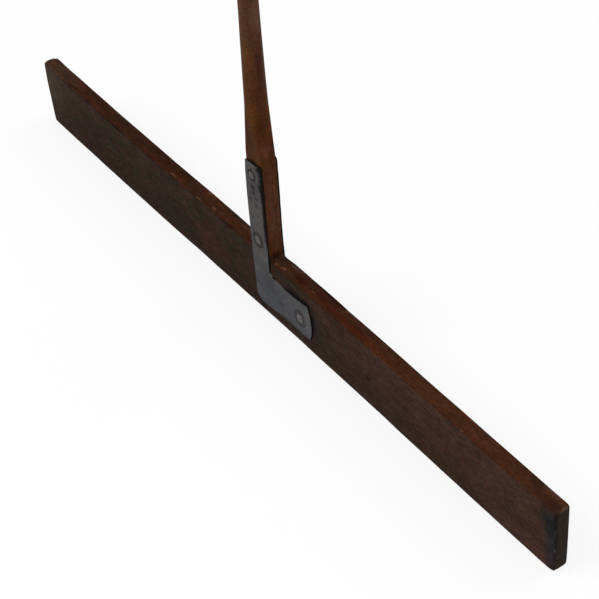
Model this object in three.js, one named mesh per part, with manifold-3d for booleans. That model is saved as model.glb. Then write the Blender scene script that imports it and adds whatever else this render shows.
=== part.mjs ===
// Sand green rake: a long wooden scraping board on its edge, a wooden handle standing on it,
// and a pair of L-shaped iron straps riveted through both.
// Millimetres. +X runs along the board, -Y is the front face, +Z goes up the handle.
// The origin is at the middle of the board's bottom edge.

import * as THREE from 'three';
import { mergeVertices } from 'three/addons/utils/BufferGeometryUtils.js';
import Module from 'manifold-3d';

const wasm = await Module();
wasm.setup();

// Board
const boardLength = 1026;
const boardHeight = 89;
const boardThickness = 20;
const boardBottomCorner = 3; // rounding of the two corners that run on the sand
const boardTopCorner = 2;
const boardArris = 1; // bevel along every edge of the two faces

// Handle
const overallHeight = 1500; // ground to the handle's top
const footWidth = 32; // the foot is as thick as the board, so its flats carry the straps
const footArris = 1.5;
const flatsBeyondStrap = 2; // how far the flats run on above the longer strap
const blendLength = 68; // flat-sided foot to full round
const swellDiameter = 26.6; // where the blend ends
const taperLength = 300;
const taperEase = 1.8; // the taper's power: it falls fast at first, then levels off
const shaftDiameter = 20.5;
const endRound = 7; // height of the handle's domed top
const roundnessShare = 0.97; // corner radius of the round part, as a share of its half width

// Tenon under the handle's shoulder, and its mortise in the board
const tenonShoulder = 4; // shoulder left at each side of the tenon
const tenonThickness = 8;
const tenonDepth = 40;
const tenonClearance = 0.3;

// Straps, as wide as the foot and cut to one outline, but for the rear one's longer upright
const strapThickness = 2;
const strapRise = 137; // front strap, above the board's top edge
const rearStrapExtra = 8; // how much higher the rear strap stands
const strapTopCorner = 6;
const strapInnerCorner = 3;
const armReach = 98; // from the handle's middle to the rounded tip
const armTipBulge = 6;
const armBelowEdge = 19.5; // bare wood above the arm
const heelAboveGround = 17; // lower edge of the arm, under the handle
const toeAboveGround = 21; // the same edge at the tip
const heelLean = 2.5; // how far the upright's outer edge leans in at the heel
const heelRound = 12;

// Rivets
const shankDiameter = 6.5;
const headDiameter = 13;
const headDome = 0.5; // how far a head stands proud of its strap
const rivetClearance = 0.3;
const upperRivetDrop = 19; // below the front strap's top
const upperRivetOffset = -4; // the holes were punched by eye, off the middle
const lowerRivetRise = 24; // above the board's top edge
const lowerRivetOffset = -1.5;
const armRivetInset = 22.5; // from the arm's tip

// One overrun for every cut that has to pass a surface
const overrun = 2;

// Fineness of the facets
const cornerSteps = 5;
const blendSteps = 5;
const taperSteps = 7;
const domeSteps = 3;
const curveSteps = 6;
const roundSteps = 24;
const headSteps = 3;

// Places worked out from the sizes
const frontFace = -boardThickness / 2;
const backFace = boardThickness / 2;
const strapFace = boardThickness / 2 + strapThickness;
const strapWidth = footWidth;
const strapTop = boardHeight + strapRise;
const rearStrapTop = strapTop + rearStrapExtra;
const armTop = boardHeight - armBelowEdge;
const upperRivet = { x: upperRivetOffset, z: strapTop - upperRivetDrop };
const lowerRivet = { x: lowerRivetOffset, z: boardHeight + lowerRivetRise };
const armRivet = { x: armReach - armRivetInset, z: (armTop + heelAboveGround) / 2 };

const finishes = {
  boardWood: new THREE.MeshStandardMaterial({ color: 0x3a2c25, roughness: 0.75, metalness: 0 }),
  handleWood: new THREE.MeshStandardMaterial({ color: 0x5a3a25, roughness: 0.55, metalness: 0 }),
  strapIron: new THREE.MeshStandardMaterial({ color: 0x55565a, roughness: 0.5, metalness: 0.8 }),
  rivetIron: new THREE.MeshStandardMaterial({ color: 0x6a6a6c, roughness: 0.45, metalness: 0.8 }),
};

// A closed solid from a geometry: shared corners are merged and empty triangles dropped
function solidFrom(geometry) {
  const bare = geometry.clone();
  bare.deleteAttribute('normal');
  bare.deleteAttribute('uv');
  const merged = mergeVertices(bare);
  const corners = merged.index.array;
  const kept = [];
  for (let i = 0; i < corners.length; i += 3) {
    const [a, b, c] = [corners[i], corners[i + 1], corners[i + 2]];
    if (a !== b && b !== c && c !== a) {
      kept.push(a, b, c);
    }
  }
  const vertProperties = new Float32Array(merged.attributes.position.array);
  const triVerts = new Uint32Array(kept);
  return new wasm.Manifold(new wasm.Mesh({ numProp: 3, vertProperties, triVerts }));
}

function geometryFrom(solid) {
  const { vertProperties, triVerts } = solid.getMesh();
  const geometry = new THREE.BufferGeometry();
  geometry.setAttribute('position', new THREE.BufferAttribute(vertProperties, 3));
  geometry.setIndex(new THREE.BufferAttribute(triVerts, 1));
  geometry.computeVertexNormals();
  return geometry;
}

// A plate drawn in the front view (x, z) and given its thickness between two places along Y
function plate(outline, fromY, toY, arris) {
  const geometry = new THREE.ExtrudeGeometry(outline, {
    depth: toY - fromY - 2 * arris,
    bevelEnabled: arris > 0,
    bevelThickness: arris,
    bevelSize: arris,
    bevelOffset: -arris,
    bevelSegments: 1,
    curveSegments: curveSteps,
  });
  geometry.rotateX(Math.PI / 2);
  geometry.translate(0, toY - arris, 0);
  return solidFrom(geometry);
}

function block(width, depth, height, centreZ) {
  const geometry = new THREE.BoxGeometry(width, depth, height);
  geometry.translate(0, 0, centreZ);
  return solidFrom(geometry);
}

// Turns half a profile, given as [radius, place along Y], and its mirror image into one solid
function turnedSolid(half, place) {
  const mirrored = half.map(([radius, y]) => [radius, -y]).reverse();
  const profile = [...mirrored, ...half].map(([radius, y]) => new THREE.Vector2(radius, y));
  const geometry = new THREE.LatheGeometry(profile, roundSteps);
  geometry.translate(place.x, 0, place.z);
  return solidFrom(geometry);
}

function rivet(place) {
  const headRadius = headDiameter / 2;
  const half = [[shankDiameter / 2, boardThickness / 2], [headRadius, strapFace]];
  for (let step = 1; step < headSteps; step += 1) {
    const turn = (step / headSteps) * Math.PI / 2;
    half.push([headRadius * Math.cos(turn), strapFace + headDome * Math.sin(turn)]);
  }
  half.push([0, strapFace + headDome]);
  return turnedSolid(half, place);
}

// The hole through wood and straps: a plain bore in the wood, a countersink in each strap
function rivetHole(place) {
  const boreRadius = shankDiameter / 2 + rivetClearance;
  const sinkRadius = headDiameter / 2 + rivetClearance;
  const end = strapFace + overrun;
  const half = [[boreRadius, boardThickness / 2], [sinkRadius, strapFace], [sinkRadius, end], [0, end]];
  return turnedSolid(half, place);
}

function boardOutline() {
  const [left, right] = [-boardLength / 2, boardLength / 2];
  const outline = new THREE.Shape();
  outline.moveTo(left + boardBottomCorner, 0);
  outline.lineTo(right - boardBottomCorner, 0);
  outline.quadraticCurveTo(right, 0, right, boardBottomCorner);
  outline.lineTo(right, boardHeight - boardTopCorner);
  outline.quadraticCurveTo(right, boardHeight, right - boardTopCorner, boardHeight);
  outline.lineTo(left + boardTopCorner, boardHeight);
  outline.quadraticCurveTo(left, boardHeight, left, boardHeight - boardTopCorner);
  outline.lineTo(left, boardBottomCorner);
  outline.quadraticCurveTo(left, 0, left + boardBottomCorner, 0);
  return outline;
}

function tenonWidth() {
  return footWidth - 2 * tenonShoulder;
}

function mortise() {
  const width = tenonWidth() + 2 * tenonClearance;
  const thickness = tenonThickness + 2 * tenonClearance;
  const floor = boardHeight - tenonDepth - tenonClearance;
  const mouth = boardHeight + overrun;
  return block(width, thickness, mouth - floor, (mouth + floor) / 2);
}

function board() {
  const plank = plate(boardOutline(), frontFace, backFace, boardArris);
  return plank.subtract(mortise()).subtract(rivetHole(armRivet));
}

// One level ring of the handle: a rectangle with round corners, which becomes nearly a circle
function handleRing(z, halfX, halfY, cornerRadius) {
  const corners = [[1, 1, 0], [-1, 1, 1], [-1, -1, 2], [1, -1, 3]];
  const points = [];
  for (const [sideX, sideY, quarter] of corners) {
    for (let step = 0; step <= cornerSteps; step += 1) {
      const turn = (quarter + step / cornerSteps) * Math.PI / 2;
      const x = sideX * (halfX - cornerRadius) + cornerRadius * Math.cos(turn);
      const y = sideY * (halfY - cornerRadius) + cornerRadius * Math.sin(turn);
      points.push([x, y, z]);
    }
  }
  return points;
}

function roundRing(z, radius) {
  return handleRing(z, radius, radius, radius * roundnessShare);
}

function handleRings() {
  const flatsTop = rearStrapTop + flatsBeyondStrap;
  const roundFrom = flatsTop + blendLength;
  const [footX, footY] = [footWidth / 2, boardThickness / 2];
  const swell = swellDiameter / 2;
  const shaft = shaftDiameter / 2;
  const rings = [handleRing(boardHeight, footX, footY, footArris)];
  for (let step = 0; step < blendSteps; step += 1) {
    const share = step / blendSteps;
    const halfX = THREE.MathUtils.lerp(footX, swell, share);
    const halfY = THREE.MathUtils.lerp(footY, swell, share);
    const corner = THREE.MathUtils.lerp(footArris, swell * roundnessShare, share);
    rings.push(handleRing(flatsTop + share * blendLength, halfX, halfY, corner));
  }
  for (let step = 0; step <= taperSteps; step += 1) {
    const share = step / taperSteps;
    const radius = shaft + (swell - shaft) * Math.pow(1 - share, taperEase);
    rings.push(roundRing(roundFrom + share * taperLength, radius));
  }
  for (let step = 0; step < domeSteps; step += 1) {
    const turn = (step / domeSteps) * Math.PI / 2;
    rings.push(roundRing(overallHeight - endRound + endRound * Math.sin(turn), shaft * Math.cos(turn)));
  }
  return rings;
}

// Skins a stack of rings with triangles, and closes both ends with a fan to a middle point
function skinnedGeometry(rings, bottomPoint, topPoint) {
  const count = rings[0].length;
  const positions = [...rings.flat(), bottomPoint, topPoint].flat();
  const bottom = rings.length * count;
  const top = bottom + 1;
  const lastRing = (rings.length - 1) * count;
  const triangles = [];
  for (let i = 0; i < count; i += 1) {
    const next = (i + 1) % count;
    triangles.push(bottom, next, i);
    for (let ring = 0; ring < lastRing; ring += count) {
      triangles.push(ring + i, ring + next, ring + count + next);
      triangles.push(ring + i, ring + count + next, ring + count + i);
    }
    triangles.push(top, lastRing + i, lastRing + next);
  }
  const geometry = new THREE.BufferGeometry();
  geometry.setAttribute('position', new THREE.Float32BufferAttribute(positions, 3));
  geometry.setIndex(triangles);
  return geometry;
}

function handle() {
  const stick = solidFrom(skinnedGeometry(handleRings(), [0, 0, boardHeight], [0, 0, overallHeight]));
  const tenonTop = boardHeight + overrun;
  const tenonBottom = boardHeight - tenonDepth;
  const tenonHeight = tenonTop - tenonBottom;
  const tenon = block(tenonWidth(), tenonThickness, tenonHeight, (tenonTop + tenonBottom) / 2);
  return stick.add(tenon).subtract(rivetHole(upperRivet)).subtract(rivetHole(lowerRivet));
}

function strapOutline(top) {
  const [left, right] = [-strapWidth / 2, strapWidth / 2];
  const heel = left + heelLean;
  const toe = armReach - armTipBulge;
  const outline = new THREE.Shape();
  outline.moveTo(heel + heelRound, heelAboveGround);
  outline.lineTo(toe, toeAboveGround);
  outline.quadraticCurveTo(armReach + armTipBulge, (toeAboveGround + armTop) / 2, toe, armTop);
  outline.lineTo(right + strapInnerCorner, armTop);
  outline.quadraticCurveTo(right, armTop, right, armTop + strapInnerCorner);
  outline.lineTo(right, top - strapTopCorner);
  outline.quadraticCurveTo(right, top, right - strapTopCorner, top);
  outline.lineTo(left + strapTopCorner, top);
  outline.quadraticCurveTo(left, top, left, top - strapTopCorner);
  outline.lineTo(left, boardHeight);
  outline.lineTo(heel, heelAboveGround + heelRound);
  outline.quadraticCurveTo(heel, heelAboveGround, heel + heelRound, heelAboveGround);
  return outline;
}

function strap(top, fromY, toY) {
  const blank = plate(strapOutline(top), fromY, toY, 0);
  const holes = [upperRivet, lowerRivet, armRivet].map(rivetHole);
  return holes.reduce((solid, hole) => solid.subtract(hole), blank);
}

function namedMesh(name, solid, finish) {
  const mesh = new THREE.Mesh(geometryFrom(solid), finish);
  mesh.name = name;
  return mesh;
}

function rake() {
  const group = new THREE.Group();
  group.add(namedMesh('board', board(), finishes.boardWood));
  group.add(namedMesh('handle', handle(), finishes.handleWood));
  group.add(namedMesh('front_strap', strap(strapTop, -strapFace, frontFace), finishes.strapIron));
  group.add(namedMesh('rear_strap', strap(rearStrapTop, backFace, strapFace), finishes.strapIron));
  group.add(namedMesh('upper_handle_rivet', rivet(upperRivet), finishes.rivetIron));
  group.add(namedMesh('lower_handle_rivet', rivet(lowerRivet), finishes.rivetIron));
  group.add(namedMesh('arm_rivet', rivet(armRivet), finishes.rivetIron));
  return group;
}

export default rake();
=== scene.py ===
"""Sand green rake: a scraping board on its edge, with a handle held upright by two riveted iron straps.

Metres. +X runs along the board towards the straps' lower arms, -Y is the front face and +Z goes up the
handle. The shader helpers come first, then the finishes, the mesh helpers, the pieces and the studio.
"""

import logging
import math
from dataclasses import dataclass, field
from enum import Enum
from typing import Iterable, Sequence, Union

import bmesh
import bpy
from mathutils import Matrix, Vector, noise


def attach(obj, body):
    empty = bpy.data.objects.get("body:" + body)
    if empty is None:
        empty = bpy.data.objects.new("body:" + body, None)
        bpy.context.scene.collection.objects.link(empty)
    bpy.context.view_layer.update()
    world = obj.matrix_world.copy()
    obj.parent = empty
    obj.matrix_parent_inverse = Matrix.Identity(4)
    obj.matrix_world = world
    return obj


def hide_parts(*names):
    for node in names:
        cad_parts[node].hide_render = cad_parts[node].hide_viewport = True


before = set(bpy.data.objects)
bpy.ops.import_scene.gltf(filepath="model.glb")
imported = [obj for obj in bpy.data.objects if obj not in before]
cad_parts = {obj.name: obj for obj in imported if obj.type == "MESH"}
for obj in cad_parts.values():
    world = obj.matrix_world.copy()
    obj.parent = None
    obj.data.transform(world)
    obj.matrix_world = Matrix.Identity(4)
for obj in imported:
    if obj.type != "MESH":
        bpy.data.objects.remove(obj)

logging.basicConfig(level=logging.INFO, format="%(message)s")
log = logging.getLogger("rake")

Colour = tuple[float, float, float, float]
Point = tuple[float, float, float]
Span = tuple[float, float]
Stops = tuple[tuple[float, float], ...]
Socket = bpy.types.NodeSocket
Feed = Union[bpy.types.NodeSocket, float, Sequence[float]]
Edges = tuple[bpy.types.NodeSocket, bpy.types.NodeSocket]

MM = 0.001
# Vertices nearer than MERGE are one, and what lies within ON_FACE of a face is on it.
MERGE = 0.001 * MM
ON_FACE = 0.01 * MM
# A face looks along an axis when its normal's part there is above FACING, and not when it is below ASIDE.
FACING = 0.9
ASIDE = 0.1
FULL_TURN = 2.0 * math.pi
# Spans of a pattern's values: all of them, and those that most of a noise lies in.
WHOLE: Span = (0.0, 1.0)
MIDDLE: Span = (0.3, 0.7)
FIBRES: Span = (0.25, 0.75)


# Colours, curves and noise.


def tone(red: int, green: int, blue: int) -> Colour:
    """Turns a colour as it is seen on a screen into the linear colour that a shader takes.

    Args:
        red: Red from 0 to 255.
        green: Green from 0 to 255.
        blue: Blue from 0 to 255.

    Returns:
        The linear colour, with full alpha.
    """
    linear = []
    # The curve of an ordinary screen: a short straight start, then a power.
    for part in (red, green, blue):
        share = part / 255.0
        linear.append(share / 12.92 if share <= 0.04045 else ((share + 0.055) / 1.055) ** 2.4)
    return (linear[0], linear[1], linear[2], 1.0)


def ease(value: float, low: float, high: float) -> float:
    """Returns 0 below low, 1 above high and a smooth rise between them."""
    share = min(max((value - low) / (high - low), 0.0), 1.0)
    return share * share * (3.0 - 2.0 * share)


def along(place: float, stops: Stops) -> float:
    """Reads a smooth line through given stops.

    Args:
        place: Where to read it, in metres.
        stops: Pairs of a place and the amount there, in millimetres and in order.

    Returns:
        The amount in metres.
    """
    for (start, low), (end, high) in zip(stops, stops[1:]):
        if place <= end * MM:
            return (low + (high - low) * ease(place, start * MM, end * MM)) * MM
    return stops[-1][1] * MM


def drift(x: float, y: float, z: float) -> float:
    """Returns smooth noise from about -1 to 1, the same on every run."""
    return noise.noise(Vector((x, y, z)))


# Shader graphs, and the effects that the finishes share.


class Graph:
    """Short calls for the shader nodes that the finishes are made of."""

    # The sockets of a Mix node that mixes colours, which share their names with those of its other kinds.
    MIX_SHARE = 0
    MIX_FIRST = 6
    MIX_SECOND = 7
    MIX_COLOUR = 2

    def __init__(self, tree: bpy.types.NodeTree) -> None:
        """Takes the node tree that the nodes go into."""
        self.tree = tree

    def node(self, kind: str, **settings: object) -> bpy.types.Node:
        """Adds a node.

        Args:
            kind: The node's type name.
            **settings: Properties to set on it.

        Returns:
            The new node.
        """
        made = self.tree.nodes.new(kind)
        for name, value in settings.items():
            setattr(made, name, value)
        return made

    def feed(self, socket: Socket, value: Feed) -> None:
        """Links a socket to another one, or sets its plain value.

        Args:
            socket: The input.
            value: The output that it is linked to, or its value.
        """
        if isinstance(value, bpy.types.NodeSocket):
            self.tree.links.new(value, socket)
        else:
            socket.default_value = value

    def math(self, operation: str, first: Feed, second: Feed = 0.0) -> Socket:
        """Adds a Math node.

        Args:
            operation: The node's operation.
            first: Its first value.
            second: Its second value.

        Returns:
            The result's socket.
        """
        made = self.node("ShaderNodeMath", operation=operation)
        self.feed(made.inputs[0], first)
        self.feed(made.inputs[1], second)
        return made.outputs[0]

    def vector(self, operation: str, first: Feed, second: Feed = (0.0, 0.0, 0.0)) -> Socket:
        """Adds a Vector Math node.

        Args:
            operation: The node's operation.
            first: Its first vector.
            second: Its second vector.

        Returns:
            The vector that comes out, or the value where the operation gives one.
        """
        made = self.node("ShaderNodeVectorMath", operation=operation)
        self.feed(made.inputs[0], first)
        if operation != "LENGTH":
            self.feed(made.inputs[1], second)
        return made.outputs["Value" if operation == "LENGTH" else "Vector"]

    def brighten(self, colour: Feed, amount: Feed) -> Socket:
        """Multiplies a colour by a value.

        Args:
            colour: The colour.
            amount: 1 leaves it as it is.

        Returns:
            The scaled colour.
        """
        made = self.node("ShaderNodeVectorMath", operation="SCALE")
        self.feed(made.inputs[0], colour)
        self.feed(made.inputs["Scale"], amount)
        return made.outputs["Vector"]

    def remap(self, value: Feed, low: Feed, high: Feed, start: float = 0.0, end: float = 1.0) -> Socket:
        """Adds a Map Range node with a smooth rise.

        Args:
            value: The value to map.
            low: Where the rise starts.
            high: Where it ends; below low, it is a fall.
            start: The result at low.
            end: The result at high.

        Returns:
            The mapped value's socket.
        """
        made = self.node("ShaderNodeMapRange", interpolation_type="SMOOTHSTEP", clamp=False)
        for name, part in (("Value", value), ("From Min", low), ("From Max", high)):
            self.feed(made.inputs[name], part)
        made.inputs["To Min"].default_value = start
        made.inputs["To Max"].default_value = end
        return made.outputs["Result"]

    def noise(self, place: Feed, scale: Feed, detail: float = 3.0, roughness: float = 0.5) -> bpy.types.Node:
        """Adds a Noise Texture node.

        Args:
            place: The coordinates that it reads.
            scale: How many features there are to a unit.
            detail: Its number of finer layers.
            roughness: How strong these are.

        Returns:
            The node: output 0 is its value, output 1 its colour.
        """
        made = self.node("ShaderNodeTexNoise")
        self.feed(made.inputs["Vector"], place)
        self.feed(made.inputs["Scale"], scale)
        made.inputs["Detail"].default_value = detail
        made.inputs["Roughness"].default_value = roughness
        return made

    def mix(self, share: Feed, first: Feed, second: Feed) -> Socket:
        """Mixes two colours.

        Args:
            share: 0 gives the first colour and 1 the second.
            first: The first colour.
            second: The second colour.

        Returns:
            The mixed colour.
        """
        made = self.node("ShaderNodeMix", data_type="RGBA", clamp_factor=True)
        self.feed(made.inputs[self.MIX_SHARE], share)
        self.feed(made.inputs[self.MIX_FIRST], first)
        self.feed(made.inputs[self.MIX_SECOND], second)
        return made.outputs[self.MIX_COLOUR]

    def tint(self, colour: Feed, mask: Feed, share: float, other: Feed) -> Socket:
        """Mixes another colour into one where a mask is set.

        Args:
            colour: The colour so far.
            mask: 1 where the other colour shows.
            share: How much of it shows there.
            other: The other colour.

        Returns:
            The mixed colour.
        """
        return self.mix(self.math("MULTIPLY", mask, share), colour, other)

    def shade(self, colour: Feed, pattern: Feed, span: Span, contrast: float) -> Socket:
        """Darkens a colour where a pattern is low and brightens it where it is high.

        Args:
            colour: The colour.
            pattern: The pattern.
            span: Its values at the darkest and at the brightest places.
            contrast: How much darker and brighter these are; negative, it turns them round.

        Returns:
            The shaded colour.
        """
        low, high = span
        return self.brighten(colour, self.remap(pattern, low, high, 1.0 - contrast, 1.0 + contrast))

    def split(self, value: Feed) -> Sequence[Socket]:
        """Takes a vector apart.

        Args:
            value: The vector.

        Returns:
            The sockets of its three parts.
        """
        made = self.node("ShaderNodeSeparateXYZ")
        self.feed(made.inputs[0], value)
        return made.outputs

    def join(self, x: Feed, y: Feed, z: Feed) -> Socket:
        """Makes a vector of three values.

        Args:
            x: Its first part.
            y: Its second part.
            z: Its third part.

        Returns:
            The vector's socket.
        """
        made = self.node("ShaderNodeCombineXYZ")
        for socket, part in zip(made.inputs, (x, y, z)):
            self.feed(socket, part)
        return made.outputs[0]

    def place(self, group: bpy.types.NodeTree, **values: Feed) -> Sequence[Socket]:
        """Puts a node group into this tree.

        Args:
            group: The group's tree.
            **values: A value or link for each of its inputs, by name with _ for a space.

        Returns:
            The group node's outputs.
        """
        made = self.node("ShaderNodeGroup", node_tree=group)
        for name, value in values.items():
            self.feed(made.inputs[name.replace("_", " ")], value)
        return made.outputs


@dataclass(frozen=True)
class Port:
    """A named input or output of a node group."""

    name: str
    kind: str = "NodeSocketFloat"


VECTOR = "NodeSocketVector"


class Effects:
    """The surface effects that several finishes share, each a shader node group that is built once."""

    def __init__(self) -> None:
        """Builds the groups."""
        self.grain = self.build_grain()
        self.arris = self.build_arris()
        self.ragged = self.build_ragged()
        self.mark = self.build_mark()
        self.mottle = self.build_mottle()
        self.speckle = self.build_speckle()

    def open(
        self, name: str, takes: Iterable[Port], gives: Iterable[Port]
    ) -> tuple[Graph, Sequence, Sequence]:
        """Starts a node group.

        Args:
            name: The group's name.
            takes: Its inputs.
            gives: Its outputs.

        Returns:
            The graph inside it, the sockets that its inputs come from, and those that its outputs go to.
        """
        tree = bpy.data.node_groups.new(name, "ShaderNodeTree")
        for port in takes:
            tree.interface.new_socket(name=port.name, in_out="INPUT", socket_type=port.kind)
        for port in gives:
            tree.interface.new_socket(name=port.name, in_out="OUTPUT", socket_type=port.kind)
        graph = Graph(tree)
        return graph, graph.node("NodeGroupInput").outputs, graph.node("NodeGroupOutput").inputs

    def build_grain(self) -> bpy.types.NodeTree:
        """Builds wood grain that runs along X: fine fibres, broad figure, dark pores and their relief.

        Along and Across are how fine it is in those directions, and Wander is how far it strays from
        straight.

        Returns:
            The group's tree.
        """
        takes = (Port("Position", VECTOR), Port("Along"), Port("Across"), Port("Wander"))
        gives = (Port("Fibre"), Port("Figure"), Port("Pores"), Port("Relief"))
        graph, source, target = self.open("wood_grain", takes, gives)
        stretched = graph.vector(
            "MULTIPLY", source["Position"], graph.join(source["Along"], source["Across"], source["Across"])
        )
        sway = graph.noise(source["Position"], scale=14.0, detail=2.0).outputs[0]
        sway = graph.math("MULTIPLY", graph.math("SUBTRACT", sway, 0.5), source["Wander"])
        laid = graph.vector("ADD", stretched, graph.join(0.0, sway, sway))
        fibre = graph.noise(laid, scale=1.0, detail=5.0, roughness=0.62).outputs[0]
        broad = graph.vector("MULTIPLY", laid, (0.42, 0.17, 0.17))
        figure = graph.noise(broad, scale=1.0, detail=4.0, roughness=0.55).outputs[0]
        dashes = graph.vector("MULTIPLY", laid, (2.2, 1.7, 1.7))
        pores = graph.remap(graph.noise(dashes, scale=1.0, detail=2.0).outputs[0], low=0.62, high=0.72)
        relief = graph.math("ADD", graph.math("MULTIPLY", fibre, 0.8), graph.math("MULTIPLY", figure, 0.5))
        relief = graph.math("SUBTRACT", relief, graph.math("MULTIPLY", pores, 0.5))
        for name, socket in (("Fibre", fibre), ("Figure", figure), ("Pores", pores), ("Relief", relief)):
            graph.feed(target[name], socket)
        return graph.tree

    def build_arris(self) -> bpy.types.NodeTree:
        """Builds the worn arrises of a square block: 1 along them, and 0 away from them.

        Returns:
            The group's tree.
        """
        takes = (
            Port("Position", VECTOR),
            Port("Centre", VECTOR),
            Port("Half Size", VECTOR),
            Port("Reach"),
            Port("Raggedness"),
        )
        graph, source, target = self.open("worn_arris", takes, (Port("Worn"),))
        away = graph.vector("ABSOLUTE", graph.vector("SUBTRACT", source["Position"], source["Centre"]))
        x, y, z = graph.split(graph.vector("SUBTRACT", source["Half Size"], away))
        lesser = graph.math("MINIMUM", x, y)
        greater = graph.math("MAXIMUM", x, y)
        second = graph.math("MAXIMUM", lesser, graph.math("MINIMUM", greater, z))
        cloud = graph.noise(source["Position"], scale=160.0, detail=4.0, roughness=0.6).outputs[0]
        rough = graph.math("SUBTRACT", cloud, 0.5)
        second = graph.math("ADD", second, graph.math("MULTIPLY", rough, source["Raggedness"]))
        graph.feed(target["Worn"], graph.remap(second, source["Reach"], 0.0))
        return graph.tree

    def build_ragged(self) -> bpy.types.NodeTree:
        """Builds the unevenness that all marks' edges share, broad for large marks and fine for small ones.

        Returns:
            The group's tree.
        """
        takes = (Port("Position", VECTOR),)
        gives = (Port("Broad"), Port("Fine"))
        graph, source, target = self.open("ragged_edges", takes, gives)
        for name, scale in (("Broad", 75.0), ("Fine", 400.0)):
            cloud = graph.noise(source["Position"], scale, detail=4.0, roughness=0.6).outputs[0]
            graph.feed(target[name], graph.math("SUBTRACT", cloud, 0.5))
        return graph.tree

    def build_mark(self) -> bpy.types.NodeTree:
        """Builds one mark, such as a stain, chip, painted shade or painted highlight: 1 in the middle of an
        uneven ellipsoid, and 0 outside it.

        Returns:
            The group's tree.
        """
        takes = (
            Port("Position", VECTOR),
            Port("Centre", VECTOR),
            Port("Radius", VECTOR),
            Port("Softness"),
            Port("Uneven"),
        )
        graph, source, target = self.open("single_mark", takes, (Port("Mark"),))
        local = graph.vector(
            "DIVIDE", graph.vector("SUBTRACT", source["Position"], source["Centre"]), source["Radius"]
        )
        reach = graph.math("ADD", graph.vector("LENGTH", local), source["Uneven"])
        inner = graph.math("SUBTRACT", 1.0, source["Softness"])
        graph.feed(target["Mark"], graph.remap(reach, 1.0, inner))
        return graph.tree

    def build_mottle(self) -> bpy.types.NodeTree:
        """Builds uneven patches: 1 inside them and 0 between them.

        Returns:
            The group's tree.
        """
        takes = (Port("Position", VECTOR), Port("Scale"), Port("Low"), Port("High"))
        graph, source, target = self.open("mottling", takes, (Port("Patch"),))
        cloud = graph.noise(source["Position"], source["Scale"], detail=5.0, roughness=0.6).outputs[0]
        graph.feed(target["Patch"], graph.remap(cloud, source["Low"], source["High"]))
        return graph.tree

    def build_speckle(self) -> bpy.types.NodeTree:
        """Builds fine specks of slightly different colour, to multiply a colour by.

        Returns:
            The group's tree.
        """
        takes = (Port("Position", VECTOR), Port("Scale"), Port("Amount"))
        graph, source, target = self.open("speckle", takes, (Port("Tint", "NodeSocketColor"),))
        specks = graph.noise(source["Position"], source["Scale"], detail=2.0).outputs[1]
        away = graph.vector("SUBTRACT", specks, (0.5, 0.5, 0.5))
        tint = graph.vector("ADD", graph.brighten(away, source["Amount"]), (1.0, 1.0, 1.0))
        graph.feed(target["Tint"], tint)
        return graph.tree


@dataclass(frozen=True)
class Pattern:
    """Uneven patches: how fine they are, and the values of the noise between which they rise."""

    scale: float
    low: float = 0.3
    high: float = 0.7

    def over(self, graph: Graph, effects: Effects, place: Feed) -> Socket:
        """Returns a mask that is 1 in the patches and 0 between them."""
        return graph.place(effects.mottle, Position=place, Scale=self.scale, Low=self.low, High=self.high)[0]


@dataclass(frozen=True)
class Mark:
    """A stain, chip, rubbed place, painted shade or painted highlight on a surface, in millimetres.

    A mark whose largest radius is above LARGE has the broad unevenness along its edge.
    """

    LARGE = 12.0

    centre: Point
    radius: Point
    colour: Colour
    strength: float = 0.7
    softness: float = 0.8
    ragged: float = 0.7

    def lay(self, graph: Graph, effects: Effects, position: Socket, edges: Edges, colour: Socket) -> Socket:
        """Paints the mark over a colour.

        Args:
            graph: The material's graph.
            effects: The shared groups.
            position: Object coordinates.
            edges: The unevenness of large and of small marks' edges.
            colour: The colour so far.

        Returns:
            The colour with the mark on it.
        """
        broad, fine = edges
        mask = graph.place(
            effects.mark,
            Position=position,
            Centre=[part * MM for part in self.centre],
            Radius=[part * MM for part in self.radius],
            Softness=self.softness,
            Uneven=graph.math("MULTIPLY", broad if max(self.radius) > self.LARGE else fine, self.ragged),
        )[0]
        return graph.tint(colour, mask, self.strength, self.colour)


def lay_marks(
    graph: Graph, effects: Effects, position: Socket, colour: Socket, marks: Iterable[Mark]
) -> Socket:
    """Paints several marks over a colour, one after the other.

    Args:
        graph: The material's graph.
        effects: The shared groups.
        position: Object coordinates.
        colour: The colour so far.
        marks: The marks.

    Returns:
        The colour with the marks on it.
    """
    broad, fine = graph.place(effects.ragged, Position=position)
    for mark in marks:
        colour = mark.lay(graph, effects, position, (broad, fine), colour)
    return colour


def open_material(name: str) -> tuple[Graph, bpy.types.Node, bpy.types.Material]:
    """Starts a material with its shader.

    Args:
        name: The material's name.

    Returns:
        The graph, the Principled BSDF node and the material.
    """
    material = bpy.data.materials.new(name)
    material.use_nodes = True
    material.node_tree.nodes.clear()
    graph = Graph(material.node_tree)
    shader = graph.node("ShaderNodeBsdfPrincipled")
    output = graph.node("ShaderNodeOutputMaterial")
    graph.feed(output.inputs["Surface"], shader.outputs[0])
    return graph, shader, material


def relief(graph: Graph, shader: bpy.types.Node, height: Feed, depth: float, strength: float) -> None:
    """Gives a shader a bump.

    Args:
        graph: The material's graph.
        shader: Its Principled BSDF node.
        height: The relief from 0 to 1.
        depth: How deep 1 is, in metres.
        strength: How much of it shows.
    """
    bump = graph.node("ShaderNodeBump")
    bump.inputs["Strength"].default_value = strength
    bump.inputs["Distance"].default_value = depth
    graph.feed(bump.inputs["Height"], height)
    graph.feed(shader.inputs["Normal"], bump.outputs[0])


# Finishes.

# Dark colours for stains, also used for painted shadow and shade beside the straps.
STAIN_AND_SHADOW = tone(15, 12, 14)
GREY_STAIN_AND_SHADE = tone(27, 26, 22)
BARE_WOOD = tone(98, 66, 47)


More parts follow.
